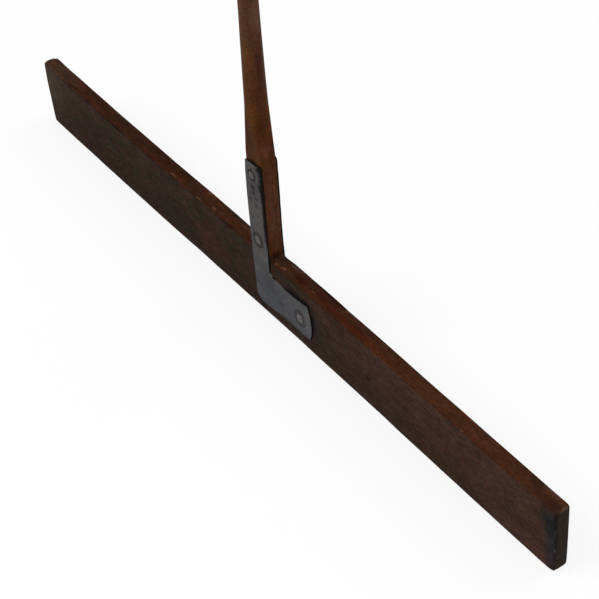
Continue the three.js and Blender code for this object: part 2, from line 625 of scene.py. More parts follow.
@dataclass(frozen=True)
class BoardWood:
    """Old weathered plank: greyed faces, a red-brown worn top edge and sawn ends."""

    grey_face: Colour = tone(35, 29, 20)
    red_face: Colour = tone(45, 27, 21)
    warm_face: Colour = tone(55, 36, 28)
    brown_top: Colour = tone(45, 26, 15)
    orange_top: Colour = tone(57, 29, 15)
    bright_top: Colour = tone(62, 34, 19)
    sawn_end: Colour = tone(40, 31, 24)
    rubbed_arris: Colour = tone(74, 39, 20)
    soiled_arris: Colour = tone(28, 15, 8)
    soil_and_shade: Colour = tone(20, 14, 11)
    gloss: float = 0.03
    face_patches: Pattern = Pattern(95.0, 0.34, 0.66)
    face_clouds: Pattern = Pattern(34.0)
    top_glow: Pattern = Pattern(44.0, 0.36, 0.60)
    grit: Pattern = Pattern(420.0)
    rubbing: Pattern = Pattern(30.0, 0.44, 0.60)
    cloud_contrast: float = 0.10
    fibre_contrast: float = 0.26
    figure_contrast: float = 0.10
    grit_contrast: float = 0.16
    speck_scale: float = 230.0
    face_specks: float = 0.6
    top_specks: float = 0.35
    warm_share: float = 0.92
    bright_share: float = 0.82
    pore_share: float = 0.4
    arris_share: float = 0.5
    soil_share: float = 0.4
    arris_shade: float = 0.6
    marks: tuple[Mark, ...] = (
        Mark((485, -10.5, 12), (38, 5, 22), tone(68, 45, 37), 0.6),
        Mark((500, -10.5, 72), (26, 5, 24), GREY_STAIN_AND_SHADE, 0.75, 1.0, 1.2),
        Mark((509, -10.5, 46), (16, 4, 56), tone(35, 34, 38), 0.85, 0.8, 1.2),
        Mark((509, -10.5, 68), (15, 4, 30), tone(22, 21, 24), 0.75, 0.9, 1.6),
        Mark((512.5, -10, 80), (5, 4, 13), STAIN_AND_SHADOW, 0.85),
        Mark((514, -9, 62), (3, 2.6, 34), STAIN_AND_SHADOW, 0.4),
        Mark((514, -8, 46), (3, 3.6, 52), tone(24, 18, 16), 0.6, 1.0),
        Mark((513.8, -10, 33), (2.0, 2.0, 4.0), tone(80, 77, 74), 0.75, 0.8, 0.9),
        Mark((514, -10, 13), (2.0, 2.0, 2.4), tone(66, 63, 60), 0.6, 0.8, 0.5),
        Mark((513.6, -10, 60), (2.0, 2.0, 9), tone(52, 52, 54), 0.6, 0.7, 1.2),
        Mark((500, -4, 89), (26, 9, 6), tone(44, 24, 17), 0.75),
        Mark((480, -6, 90), (28, 5, 5), tone(45, 25, 19), 0.45),
        Mark((487, 5, 90), (18, 5, 5), tone(74, 49, 36), 0.45),
        Mark((380, -9.4, 90), (120, 2.4, 3), tone(60, 22, 8), 0.45),
        Mark((436, -11, 12), (44, 5, 22), tone(66, 45, 36), 0.55),
        Mark((150, -11, 78), (34, 5, 18), tone(38, 24, 17), 0.45),
        Mark((-112, -11, 34), (46, 5, 34), tone(57, 29, 21), 0.5),
        Mark((-400, -11, 30), (60, 5, 34), tone(38, 20, 14), 0.5),
        Mark((-400, -11, 78), (56, 5, 14), tone(54, 38, 28), 0.5),
        Mark((-205, -11, 52), (46, 5, 40), tone(33, 25, 19), 0.3),
        # These two marks are dirt with painted shadow of the strap's arm, in a halo right of its tip.
        Mark((106, -11, 46), (14, 4, 36), GREY_STAIN_AND_SHADE, 0.75),
        Mark((99, -11, 52), (6, 4, 26), STAIN_AND_SHADOW, 0.8),
        # These two marks are painted shadow along the top edge of the strap's arm.
        Mark((52, -11, 80), (50, 4, 13), tone(32, 25, 20), 0.6),
        Mark((74, -11, 72), (36, 4, 8), STAIN_AND_SHADOW, 0.95, 0.6),
        Mark((20, -11, 80), (9, 4, 10), tone(41, 25, 17), 0.6),
        Mark((394, -10, 75), (8, 4, 9), GREY_STAIN_AND_SHADE, 0.6),
        Mark((385, -10, 56), (8, 4, 9), GREY_STAIN_AND_SHADE, 0.35),
        Mark((201, -10, 42), (9, 5, 6), STAIN_AND_SHADOW, 0.35),
        Mark((271, -10, 46), (9, 5, 5), STAIN_AND_SHADOW, 0.3),
        Mark((157, -10, 60), (10, 5, 5), STAIN_AND_SHADOW, 0.3),
        Mark((157, -10, 28), (12, 5, 6), STAIN_AND_SHADOW, 0.25),
        Mark((-190, -10, 19), (45, 6, 14), GREY_STAIN_AND_SHADE, 0.35),
        Mark((-330, -10, 22), (70, 6, 24), tone(39, 18, 9), 0.5),
        Mark((-508, -10, 72), (84, 8, 78), tone(60, 49, 40), 0.85, 1.0, 0.5),
        Mark((100, 10, 90), (34, 6, 6), STAIN_AND_SHADOW, 0.5),
        Mark((124, 8, 90), (20, 6, 6), tone(30, 6, 5), 0.75, 0.9, 1.2),
        Mark((230, -10, 87), (46, 2.0, 2.4), tone(88, 60, 45), 0.45, 0.8, 0.8),
        Mark((240, -8.4, 90), (46, 1.1, 3), tone(92, 43, 19), 0.6, 0.7, 0.8),
        Mark((66, -1, 90), (18, 8, 5), tone(37, 12, 4), 0.75),
        Mark((104, 1, 91), (26, 9, 5), tone(38, 11, 5), 0.6),
        Mark((45, 7, 90), (14, 5, 5), tone(72, 54, 44), 0.7),
        Mark((160, -4, 90), (90, 7, 6), tone(62, 20, 6), 0.6),
        Mark((470, 4, 89), (15, 9, 6), STAIN_AND_SHADOW, 0.45),
        Mark((495, 6, 89), (9, 5, 6), tone(64, 43, 32), 0.5),
        Mark((-186, 8, 90), (30, 6, 6), tone(29, 12, 3), 0.65),
        Mark((-399, -9, 90), (9, 4, 5), STAIN_AND_SHADOW, 0.6),
        Mark((-335, -10.5, 90), (48, 3.4, 4), tone(20, 4, 3), 0.7),
        Mark((-72, -9.5, 90), (30, 4, 4), tone(22, 8, 3), 0.65),
        Mark((-480, 0, 91), (62, 14, 7), tone(60, 42, 32), 0.65),
        Mark((-290, 0, 91), (170, 16, 6), tone(35, 18, 9), 0.6),
        Mark((-240, -7, 90), (60, 4.4, 5), tone(58, 23, 8), 0.45),
        Mark((-200, 1, 90), (50, 12, 5), tone(44, 20, 5), 0.4),
        Mark((-48, 5, 91), (24, 6, 5), tone(74, 50, 35), 0.6),
        Mark((-52, -5, 91), (24, 4, 5), tone(42, 25, 13), 0.45),
        Mark((24, 1, 93), (15, 14, 9), tone(50, 36, 26), 0.75),
        Mark((46, -4, 91), (16, 7, 5), tone(66, 44, 30), 0.4),
        Mark((18, -8, 91), (6, 4, 5), tone(20, 13, 10), 0.7),
        Mark((20, 9, 93), (7, 4, 7), tone(76, 57, 43), 0.7),
        # Painted shade in the crease where the handle's foot meets the board.
        Mark((17, 0, 94), (2.2, 12, 4), tone(17, 4, 3), 0.8),
        Mark((31, -5.2, 91), (15, 4, 5), tone(78, 41, 19), 0.6, 1.0, 1.6),
        Mark((24.5, -5.5, 92), (5.2, 2.8, 3.4), tone(116, 80, 56), 0.95, 0.7, 2.0),
        Mark((38.0, -4.6, 90), (4.4, 2.3, 3.0), tone(106, 66, 42), 0.9, 0.7, 2.0),
        Mark((33.0, -6.4, 90), (2.6, 1.2, 2.4), tone(88, 50, 26), 0.7, 0.7, 1.8),
        Mark((43, -1, 90), (2.6, 1.2, 3), BARE_WOOD, 0.5, 0.6, 1.3),
        Mark((56.5, 8.2, 90), (4, 1.6, 2), BARE_WOOD, 0.4, 0.5, 1.3),
        Mark((91.5, -2.4, 90), (5, 1.2, 2), BARE_WOOD, 0.5, 0.5, 1.4),
        Mark((142.8, 8.6, 90), (4, 1.8, 2), BARE_WOOD, 0.6, 0.5, 1.3),
        Mark((200.4, -2.6, 90), (2.2, 1.1, 2), BARE_WOOD, 0.55, 0.5, 1.3),
        Mark((215.6, -5.4, 90), (2.4, 1.2, 2), BARE_WOOD, 0.55, 0.5, 1.3),
        Mark((216.4, 4.4, 90), (2.2, 1.1, 2), BARE_WOOD, 0.45, 0.5, 1.3),
        Mark((365.7, -9.4, 90), (3.4, 2, 2), BARE_WOOD, 0.5, 0.5, 1.3),
        Mark((-195, -7, 90), (8, 2, 2), BARE_WOOD, 0.5, 0.6, 1.6),
        Mark((-136, -9, 90), (10, 2, 2), BARE_WOOD, 0.5, 0.6, 1.6),
        Mark((-134.7, 7.1, 90), (4, 1.8, 2), BARE_WOOD, 0.5, 0.5, 1.3),
        Mark((-107, -5, 90), (6, 2.4, 2), BARE_WOOD, 0.55, 0.5, 1.5),
        Mark((512.5, 1, 88.2), (3, 9, 1.8), tone(94, 72, 57), 0.6, 0.7, 0.8),
    )

    def face(self, graph: Graph, effects: Effects, position: Socket, x: Socket, z: Socket) -> Socket:
        """Paints the greyed faces, in soft red-brown and grey-green patches, warmer towards the right and
        darker towards the bottom.

        Args:
            graph: The material's graph.
            effects: The shared groups.
            position: Object coordinates.
            x: Their part along the board.
            z: Their height.

        Returns:
            The colour.
        """
        drawn_out = graph.vector("MULTIPLY", position, (0.6, 1.0, 1.0))
        patches = self.face_patches.over(graph, effects, drawn_out)
        colour = graph.mix(patches, self.grey_face, self.red_face)
        warm = graph.remap(x, low=-120 * MM, high=360 * MM)
        colour = graph.tint(colour, warm, self.warm_share, self.warm_face)
        clouds = self.face_clouds.over(graph, effects, drawn_out)
        colour = graph.shade(colour, clouds, WHOLE, self.cloud_contrast)
        return graph.brighten(colour, graph.remap(z, low=10 * MM, high=80 * MM, start=0.88, end=1.09))

    def top(self, graph: Graph, effects: Effects, position: Socket, x: Socket) -> Socket:
        """Paints the worn top edge, more orange towards the right.

        Args:
            graph: The material's graph.
            effects: The shared groups.
            position: Object coordinates.
            x: Their part along the board.

        Returns:
            The colour.
        """
        drawn_out = graph.vector("MULTIPLY", position, (0.5, 2.2, 1.0))
        colour = graph.mix(self.top_glow.over(graph, effects, drawn_out), self.brown_top, self.orange_top)
        right = graph.remap(x, low=120 * MM, high=340 * MM)
        return graph.tint(colour, right, self.bright_share, self.bright_top)

    def wear(
        self,
        graph: Graph,
        effects: Effects,
        board: "ScrapingBoard",
        coordinates: Sequence[Socket],
        colour: Socket,
    ) -> Socket:
        """Paints the arrises, rubbed where hands reach and darker elsewhere, and a dark band along the
        bottom: dirt from the sand with painted shade where the board meets the floor.

        Args:
            graph: The material's graph.
            effects: The shared groups.
            board: The board, for its sizes.
            coordinates: The outputs of the Texture Coordinate node.
            colour: The colour so far.

        Returns:
            The colour.
        """
        position = coordinates["Object"]
        _, y, z = graph.split(position)
        up = graph.split(coordinates["Normal"])[2]
        worn = graph.place(
            effects.arris,
            Position=position,
            Centre=(0.0, 0.0, board.height / 2),
            Half_Size=(board.length / 2, board.thickness / 2, board.height / 2),
            Reach=2.2 * MM,
            Raggedness=2.0 * MM,
        )[0]
        upward = graph.remap(up, low=0.1, high=0.6)
        in_front = graph.remap(y, low=2 * MM, high=-6 * MM)
        handled = graph.math("MULTIPLY", worn, graph.math("MULTIPLY", upward, in_front))
        rubbed = self.rubbing.over(graph, effects, position)
        arris = graph.mix(rubbed, self.soiled_arris, self.rubbed_arris)
        # Darker along the arrises that hands don't reach.
        darkened_arris = graph.math("SUBTRACT", worn, handled)
        colour = graph.brighten(colour, graph.remap(darkened_arris, *WHOLE, start=1.0, end=self.arris_shade))
        colour = graph.tint(colour, handled, self.arris_share, arris)
        # Dark along the bottom: dirt from the sand, and painted shade where the board meets the floor.
        sand_dirt_and_contact_shade = graph.remap(z, low=3.5 * MM, high=0.8 * MM)
        return graph.tint(colour, sand_dirt_and_contact_shade, self.soil_share, self.soil_and_shade)

    def material(self, effects: Effects, board: "ScrapingBoard") -> bpy.types.Material:
        """Makes the plank's material.

        Args:
            effects: The shared groups.
            board: The board, for its sizes.

        Returns:
            The material.
        """
        graph, shader, material = open_material("weathered_board")
        coordinates = graph.node("ShaderNodeTexCoord").outputs
        position = coordinates["Object"]
        x, _, z = graph.split(position)
        across, _, up = graph.split(coordinates["Normal"])
        fibre, figure, pores, height = graph.place(
            effects.grain, Position=position, Along=84.0, Across=470.0, Wander=1.6
        )
        uneven = graph.math("MULTIPLY", graph.math("SUBTRACT", fibre, 0.5), 0.4)
        on_top = graph.remap(graph.math("ADD", up, uneven), low=0.45, high=0.8)
        face = self.face(graph, effects, position, x, z)
        colour = graph.mix(on_top, face, self.top(graph, effects, position, x))
        end = graph.remap(graph.math("ABSOLUTE", across), low=0.6, high=0.85)
        colour = graph.mix(end, colour, self.sawn_end)
        colour = self.wear(graph, effects, board, coordinates, colour)
        colour = lay_marks(graph, effects, position, colour, self.marks)
        colour = graph.shade(colour, fibre, FIBRES, self.fibre_contrast)
        colour = graph.shade(colour, figure, MIDDLE, self.figure_contrast)
        colour = graph.shade(colour, self.grit.over(graph, effects, position), WHOLE, self.grit_contrast)
        amount = graph.remap(on_top, *WHOLE, start=self.face_specks, end=self.top_specks)
        specks = graph.place(effects.speckle, Position=position, Scale=self.speck_scale, Amount=amount)[0]
        colour = graph.vector("MULTIPLY", colour, specks)
        colour = graph.tint(colour, pores, self.pore_share, STAIN_AND_SHADOW)
        graph.feed(shader.inputs["Base Color"], colour)
        graph.feed(shader.inputs["Roughness"], graph.remap(fibre, *MIDDLE, start=0.84, end=0.64))
        shader.inputs["Specular IOR Level"].default_value = self.gloss
        relief(graph, shader, height, depth=0.5 * MM, strength=0.4)
        return material


@dataclass(frozen=True)
class HandleWood:
    """Honey brown hardwood, polished by hands, with darker streaks along it."""

    honey: Colour = tone(77, 46, 20)
    # The honey wood's shaded copy, for the painted shade on one side.
    brown: Colour = tone(66, 36, 16)
    red_brown: Colour = tone(64, 33, 17)
    dark_foot: Colour = tone(36, 20, 9)
    worn_arris: Colour = tone(78, 53, 36)
    gloss: float = 0.015
    polish: float = 0.15
    coat_roughness: float = 0.5
    patches: Pattern = Pattern(22.0, 0.36, 0.64)
    grit: Pattern = Pattern(300.0)
    figure_contrast: float = 0.14
    fibre_contrast: float = 0.22
    grit_contrast: float = 0.16
    speck_scale: float = 230.0
    speck_amount: float = 0.7
    dark_share: float = 0.9
    patch_share: float = 0.35
    pore_share: float = 0.3
    arris_share: float = 0.15
    marks: tuple[Mark, ...] = (
        Mark((12.5, 1, 372), (5, 7, 34), tone(44, 16, 6), 0.6),
        Mark((12, 0, 350), (6, 6, 34), tone(42, 13, 5), 0.6),
        Mark((12, -3, 318), (6, 5, 32), tone(56, 27, 18), 0.5),
        Mark((11, -7, 332), (7, 5, 22), tone(58, 25, 7), 0.55),
        Mark((12, -2, 286), (5, 5, 28), tone(49, 25, 16), 0.5),
        Mark((7, -10, 268), (5, 5, 18), tone(54, 26, 8), 0.3),
        Mark((13, -3, 246), (7, 9, 16), tone(90, 55, 36), 0.8),
        Mark((-11, -6, 270), (13, 16, 50), tone(56, 30, 12), 0.6),
        Mark((-8, -12, 234), (9, 5, 11), tone(48, 34, 28), 0.5),
        Mark((14, -3, 324), (1.4, 1.4, 2.0), tone(103, 78, 55), 0.6),
        # Dirt with painted shadow along the front strap's right edge, and painted shadow along its top.
        Mark((16, -10.5, 165), (5, 3.6, 84), tone(22, 13, 9), 0.8, 0.8),
        Mark((2, -11, 227), (17, 4, 5), tone(16, 11, 9), 0.85, 0.8),
        Mark((16.5, 9, 170), (4, 6, 90), tone(76, 48, 32), 0.5, 0.9),
        Mark((-13, -10, 246), (8, 8, 15), tone(44, 22, 8), 0.5),
        Mark((13, 1, 424), (9, 13, 34), tone(90, 60, 40), 0.7),
        Mark((5, -9, 372), (9, 8, 24), tone(84, 47, 15), 0.75),
        Mark((16, -1, 160), (4, 14, 76), tone(79, 49, 36), 0.7),
        Mark((-3, -11, 262), (20, 5, 50), tone(57, 28, 11), 0.75),
        Mark((-12, 0, 424), (10, 16, 30), tone(84, 56, 34), 0.4),
        # Painted shade low on the foot's right side, just above the board.
        Mark((16, 0, 92), (6, 14, 12), tone(32, 15, 6), 0.75),
    )

    def material(self, effects: Effects, handle: "Handle") -> bpy.types.Material:
        """Makes the handle's material.

        Args:
            effects: The shared groups.
            handle: The handle, for its sizes.

        Returns:
            The material.
        """
        graph, shader, material = open_material("polished_handle")
        position = graph.node("ShaderNodeTexCoord").outputs["Object"]
        x, y, z = graph.split(position)
        upright = graph.join(z, x, y)
        fibre, figure, pores, height = graph.place(
            effects.grain, Position=upright, Along=26.0, Across=430.0, Wander=2.0
        )
        patches = self.patches.over(graph, effects, upright)
        # Painted shade: the side turned away from the key light, on the camera's right, takes the shaded
        # brown.
        right = graph.math("ADD", graph.math("MULTIPLY", x, 0.53), graph.math("MULTIPLY", y, 0.85))
        darker = graph.remap(right, low=-10 * MM, high=4 * MM)
        colour = graph.tint(self.honey, darker, self.dark_share, self.brown)
        colour = graph.tint(colour, patches, self.patch_share, self.red_brown)
        foot_top = handle.shoulder + handle.blend_start
        worn = graph.place(
            effects.arris,
            Position=position,
            Centre=(0.0, 0.0, foot_top / 2),
            Half_Size=(handle.foot_width / 2, handle.foot_thickness / 2, foot_top),
            Reach=1.6 * MM,
            Raggedness=2.6 * MM,
        )[0]
        colour = graph.tint(colour, worn, self.arris_share, self.worn_arris)
        colour = lay_marks(graph, effects, position, colour, self.marks)
        colour = graph.shade(colour, figure, MIDDLE, self.figure_contrast)
        colour = graph.shade(colour, fibre, FIBRES, self.fibre_contrast)
        colour = graph.shade(colour, self.grit.over(graph, effects, upright), WHOLE, self.grit_contrast)
        specks = graph.place(
            effects.speckle, Position=upright, Scale=self.speck_scale, Amount=self.speck_amount
        )[0]
        colour = graph.vector("MULTIPLY", colour, specks)
        colour = graph.tint(colour, pores, self.pore_share, self.dark_foot)
        graph.feed(shader.inputs["Base Color"], colour)
        graph.feed(shader.inputs["Roughness"], graph.remap(fibre, *MIDDLE, start=0.66, end=0.46))
        shader.inputs["Specular IOR Level"].default_value = self.gloss
        polished = graph.remap(z, low=270 * MM, high=400 * MM, end=self.polish)
        graph.feed(shader.inputs["Coat Weight"], polished)
        shader.inputs["Coat Roughness"].default_value = self.coat_roughness
        relief(graph, shader, height, depth=0.3 * MM, strength=0.35)
        return material


@dataclass(frozen=True)
class StrapIron:
    """Dull grey plate with dark mottling, dark cut edges that carry painted shade, painted shade in the
    hammered dish round each rivet and painted highlights on the arm's top edge.
    """

    plate: Colour = tone(68, 66, 65)
    blue_plate: Colour = tone(59, 60, 64)
    blotch_and_shade: Colour = tone(33, 30, 31)
    polished: Colour = tone(84, 82, 80)
    cut_edge_and_shade: Colour = tone(22, 20, 20)
    metallic: float = 0.12
    gloss: float = 0.0
    sheen: float = 0.25
    coat_roughness: float = 0.58
    clouds: Pattern = Pattern(46.0)
    rust: Pattern = Pattern(170.0, 0.50, 0.68)
    polish: Pattern = Pattern(130.0, 0.54, 0.70)
    grit: Pattern = Pattern(560.0)
    cloud_contrast: float = -0.12
    grit_contrast: float = 0.08
    polish_share: float = 0.5
    ring_share: float = 0.7
    speck_scale: float = 240.0
    speck_amount: float = 0.4
    marks: tuple[Mark, ...] = (
        Mark((-4, -12, 188), (6, 3, 7), tone(37, 31, 32), 0.6, 0.8, 1.2),
        Mark((-1, -12, 167), (6, 3, 5), tone(39, 35, 33), 0.5, 0.8, 1.2),
        Mark((-15, -12, 190), (3, 4, 34), tone(46, 46, 46), 0.5),
        Mark((3, -12, 145), (3, 3, 3), tone(92, 90, 86), 0.5),
        Mark((55, -12, 22), (34, 4, 5), tone(38, 38, 41), 0.5, 0.8, 1.2),
        Mark((14, -12, 60), (28, 4, 34), tone(49, 50, 55), 0.6),
        Mark((70, -12, 62), (22, 4, 8), tone(74, 73, 72), 0.4),
        Mark((89, -12, 46), (13, 4, 26), tone(79, 78, 77), 0.8),
        Mark((1, -12, 194), (19, 4, 32), tone(46, 44, 45), 0.6),
        # Dirt with painted shadow in a soft dark margin along the upright's right edge.
        Mark((17.6, -12, 160), (8, 4, 68), tone(15, 13, 12), 0.95, 0.6),
        Mark((17.5, -12, 200), (13, 4, 38), tone(15, 14, 13), 0.95, 0.7),
        Mark((14, -12, 223), (13, 4, 13), tone(14, 14, 12), 0.95, 0.6),
        Mark((-4, -12, 189.5), (5, 3, 5), tone(26, 20, 24), 0.8, 0.8, 1.6),
        Mark((-2.5, -12, 181.3), (5, 3, 5), tone(26, 20, 24), 0.75, 0.8, 1.6),
        Mark((0.6, -12, 175.5), (6, 3, 4), tone(28, 23, 26), 0.7, 0.8, 1.6),
        Mark((-9, -12, 172), (4, 3, 5), tone(34, 31, 32), 0.6, 0.8, 1.6),
        Mark((2, -12, 164), (5, 3, 5), tone(36, 33, 33), 0.6, 0.8, 1.6),
    )
    # Painted highlights along the arm's top edge.
    painted_highlights: tuple[Mark, ...] = (
        Mark((19, -11, 71.5), (4, 3, 2.6), tone(112, 108, 101), 0.8, 0.6),
        Mark((34, -11, 68.6), (16, 3, 1.6), tone(92, 89, 84), 0.6, 0.8, 1.2),
    )

    def material(self, effects: Effects, strap: "Strap") -> bpy.types.Material:
        """Makes the material of one strap.

        Args:
            effects: The shared groups.
            strap: The strap, for its rivet holes.

        Returns:
            The material.
        """
        graph, shader, material = open_material("iron_" + strap.name)
        coordinates = graph.node("ShaderNodeTexCoord").outputs
        position = coordinates["Object"]
        x, _, z = graph.split(position)
        flat = graph.math("ABSOLUTE", graph.split(coordinates["Normal"])[1])
        colour = graph.mix(graph.remap(z, low=100 * MM, high=30 * MM), self.plate, self.blue_plate)
        clouds = self.clouds.over(graph, effects, position)
        colour = graph.shade(colour, clouds, WHOLE, self.cloud_contrast)
        upper = graph.remap(z, low=120 * MM, high=190 * MM, start=0.3, end=1.0)
        rust = self.rust.over(graph, effects, position)
        colour = graph.mix(graph.math("MULTIPLY", rust, upper), colour, self.blotch_and_shade)
        beaten = graph.vector("ADD", position, (3.1, 1.7, 5.3))
        bright = self.polish.over(graph, effects, beaten)
        colour = graph.tint(colour, bright, self.polish_share, self.polished)
        colour = graph.shade(colour, self.grit.over(graph, effects, position), WHOLE, self.grit_contrast)
        colour = lay_marks(graph, effects, position, colour, self.marks)
        for hole in strap.holes:
            colour = self.dish(graph, hole, x, z, colour)
        # Dark cut edges: dark iron, with painted shade on the edge faces.
        colour = graph.mix(graph.remap(flat, low=0.75, high=0.35), colour, self.cut_edge_and_shade)
        colour = lay_marks(graph, effects, position, colour, self.painted_highlights)
        specks = graph.place(
            effects.speckle, Position=position, Scale=self.speck_scale, Amount=self.speck_amount
        )[0]
        colour = graph.vector("MULTIPLY", colour, specks)
        graph.feed(shader.inputs["Base Color"], colour)
        graph.feed(shader.inputs["Roughness"], graph.remap(clouds, *WHOLE, start=0.5, end=0.68))
        shader.inputs["Metallic"].default_value = self.metallic
        shader.inputs["Specular IOR Level"].default_value = self.gloss
        # Soiled iron is dull, so the coat thins out where the colour is dark, painted shade included.
        clean = graph.remap(graph.split(colour)[0], low=0.008, high=0.040, end=self.sheen)
        graph.feed(shader.inputs["Coat Weight"], clean)
        shader.inputs["Coat Roughness"].default_value = self.coat_roughness
        hammered = graph.noise(position, scale=220.0, detail=4.0).outputs[0]
        relief(graph, shader, hammered, depth=0.25 * MM, strength=0.35)
        return material

    def dish(self, graph: Graph, hole: "Hole", x: Socket, z: Socket, colour: Socket) -> Socket:
        """Paints shade into the hammered dish round a rivet, with a line of painted shade along its rim and
        one round the head.

        Args:
            graph: The material's graph.
            hole: The rivet's hole.
            x: The part of the coordinates along the board.
            z: Their height.
            colour: The colour so far.

        Returns:
            The colour.
        """
        offset = graph.join(graph.math("SUBTRACT", x, hole.x), 0.0, graph.math("SUBTRACT", z, hole.z))
        distance = graph.vector("LENGTH", offset)
        # Painted shade in the dish.
        sunk = graph.remap(distance, low=hole.dish, high=hole.dish - 0.8 * MM)
        colour = graph.tint(colour, sunk, hole.dish_shade, self.blotch_and_shade)
        from_rim = graph.math("ABSOLUTE", graph.math("SUBTRACT", distance, hole.dish))
        from_head = graph.math("ABSOLUTE", graph.math("SUBTRACT", distance, hole.head + 0.3 * MM))
        line = graph.remap(graph.math("MINIMUM", from_rim, from_head), low=1.2 * MM, high=0.2 * MM)
        return graph.tint(colour, line, self.ring_share, self.cut_edge_and_shade)


@dataclass(frozen=True)
class RivetIron:
    """Hammered rivet heads, a little brighter than the plate, with painted shade round their edges."""

    head: Colour = tone(72, 68, 67)
    rubbed: Colour = tone(90, 86, 83)
    # The colour of the painted shade round the head's edge and on its sides.
    rim: Colour = tone(30, 29, 28)
    metallic: float = 0.15
    gloss: float = 0.08
    clouds: Pattern = Pattern(210.0, 0.38, 0.64)
    rim_width: float = 1.2 * MM
    rim_share: float = 0.75

    def material(self, effects: Effects, rivet: "Rivet") -> bpy.types.Material:
        """Makes the material of one rivet.

        Args:
            effects: The shared groups.
            rivet: The rivet, for its name and its hole.

        Returns:
            The material.
        """
        graph, shader, material = open_material("iron_" + rivet.name)
        coordinates = graph.node("ShaderNodeTexCoord").outputs
        position = coordinates["Object"]
        flat = graph.math("ABSOLUTE", graph.split(coordinates["Normal"])[1])
        x, _, z = graph.split(position)
        hole = rivet.hole
        offset = graph.join(graph.math("SUBTRACT", x, hole.x), 0.0, graph.math("SUBTRACT", z, hole.z))
        distance = graph.vector("LENGTH", offset)
        clouds = self.clouds.over(graph, effects, position)
        colour = graph.mix(clouds, self.head, self.rubbed)
        # Painted shade round the head's edge, and on its sides below.
        outer = graph.remap(distance, low=hole.head - self.rim_width, high=hole.head)
        colour = graph.tint(colour, outer, self.rim_share, self.rim)
        colour = graph.mix(graph.remap(flat, low=0.8, high=0.4), colour, self.rim)
        graph.feed(shader.inputs["Base Color"], colour)
        graph.feed(shader.inputs["Roughness"], graph.remap(clouds, *WHOLE, start=0.52, end=0.40))
        shader.inputs["Metallic"].default_value = self.metallic
        shader.inputs["Specular IOR Level"].default_value = self.gloss
        hammered = graph.noise(position, scale=300.0, detail=3.0).outputs[0]
        relief(graph, shader, hammered, depth=0.25 * MM, strength=0.4)
        return material


# Mesh helpers.


def slice_mesh(bm: bmesh.types.BMesh, axis: int, places: Iterable[float]) -> None:
    """Cuts a mesh at planes square to one axis.

    Args:
        bm: The mesh.
        axis: 0, 1 or 2 for X, Y or Z.
        places: Where the planes are along that axis.
    """
    square = Vector((0.0, 0.0, 0.0))
    square[axis] = 1.0
    for place in places:
        whole = bm.verts[:] + bm.edges[:] + bm.faces[:]
        bmesh.ops.bisect_plane(bm, geom=whole, dist=MERGE, plane_co=square * place, plane_no=square)


def steps_between(low: float, high: float, size: float) -> list[float]:
    """Returns evenly spaced places inside a span, about size apart."""
    count = max(1, round((high - low) / size))
    return [low + (high - low) * index / count for index in range(1, count)]


def round_edges(bm: bmesh.types.BMesh, edges: Sequence, radius: float, segments: int) -> None:
    """Bevels edges with the same settings everywhere.

    Args:
        bm: The mesh.
        edges: The edges to round.
        radius: The bevel's width.
        segments: How many facets it has.
    """
    bmesh.ops.bevel(
        bm,
        geom=list(edges),
        offset=radius,
        offset_type="OFFSET",
        segments=segments,
        profile=0.5,
        affect="EDGES",
        clamp_overlap=True,
        material=-1,
    )


def punch_ring(
    bm: bmesh.types.BMesh, centre: Point, half: float, radii: Sequence[float], segments: int
) -> list[bmesh.types.BMEdge]:
    """Replaces a square block of a gridded face square to Y with rings round a hole.

    Args:
        bm: The mesh.
        centre: The hole's middle, on the face.
        half: Half the block's side; the grid has lines there.
        radii: Radii of the rings from the outermost to the hole's.
        segments: Facets in each ring.

    Returns:
        The hole's edges.
    """
    middle = Vector(centre)
    gone = set()
    for face in bm.faces:
        away = face.calc_center_median() - middle
        on_face = abs(away.y) < ON_FACE and abs(face.normal.y) > FACING
        if on_face and abs(away.x) < half and abs(away.z) < half:
            gone.add(face)
    inner_edges = {edge for face in gone for edge in face.edges}
    border = [edge for edge in inner_edges if any(face not in gone for face in edge.link_faces)]
    bmesh.ops.delete(bm, geom=list(gone), context="FACES")
    lay_flat = Matrix.Translation(middle) @ Matrix.Rotation(math.pi / 2, 4, "X")
    made = bmesh.ops.create_circle(bm, cap_ends=False, radius=radii[0], segments=segments, matrix=lay_flat)
    ring = list({edge for vert in made["verts"] for edge in vert.link_edges})
    bmesh.ops.bridge_loops(bm, edges=border + ring)
    for outer, inner in zip(radii, radii[1:]):
        grown = bmesh.ops.extrude_edge_only(bm, edges=ring)["geom"]
        moved = {item for item in grown if isinstance(item, bmesh.types.BMVert)}
        share = inner / outer
        bmesh.ops.scale(bm, vec=(share, 1.0, share), space=Matrix.Translation(-middle), verts=list(moved))
        edges = [item for item in grown if isinstance(item, bmesh.types.BMEdge)]
        ring = [edge for edge in edges if edge.verts[0] in moved and edge.verts[1] in moved]
    return ring


def finish_piece(
    bm: bmesh.types.BMesh, name: str, node: str, material: bpy.types.Material, crease: float
) -> bpy.types.Object:
    """Turns a finished mesh into a piece of the rake.

    Args:
        bm: The mesh, which is freed.
        name: The piece's name.
        node: The CAD node that it stands for.
        material: Its material.
        crease: Edges sharper than this many degrees stay sharp.

    Returns:
        The piece's object.
    """
    bmesh.ops.recalc_face_normals(bm, faces=bm.faces[:])
    mesh = bpy.data.meshes.new(name)
    bm.to_mesh(mesh)
    bm.free()
    mesh.shade_smooth()
    mesh.set_sharp_from_angle(angle=math.radians(crease))
    mesh.materials.append(material)
    piece = bpy.data.objects.new(name, mesh)
    bpy.context.scene.collection.objects.link(piece)
    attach(piece, "root")
    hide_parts(node)
    return piece


# The rake's pieces.


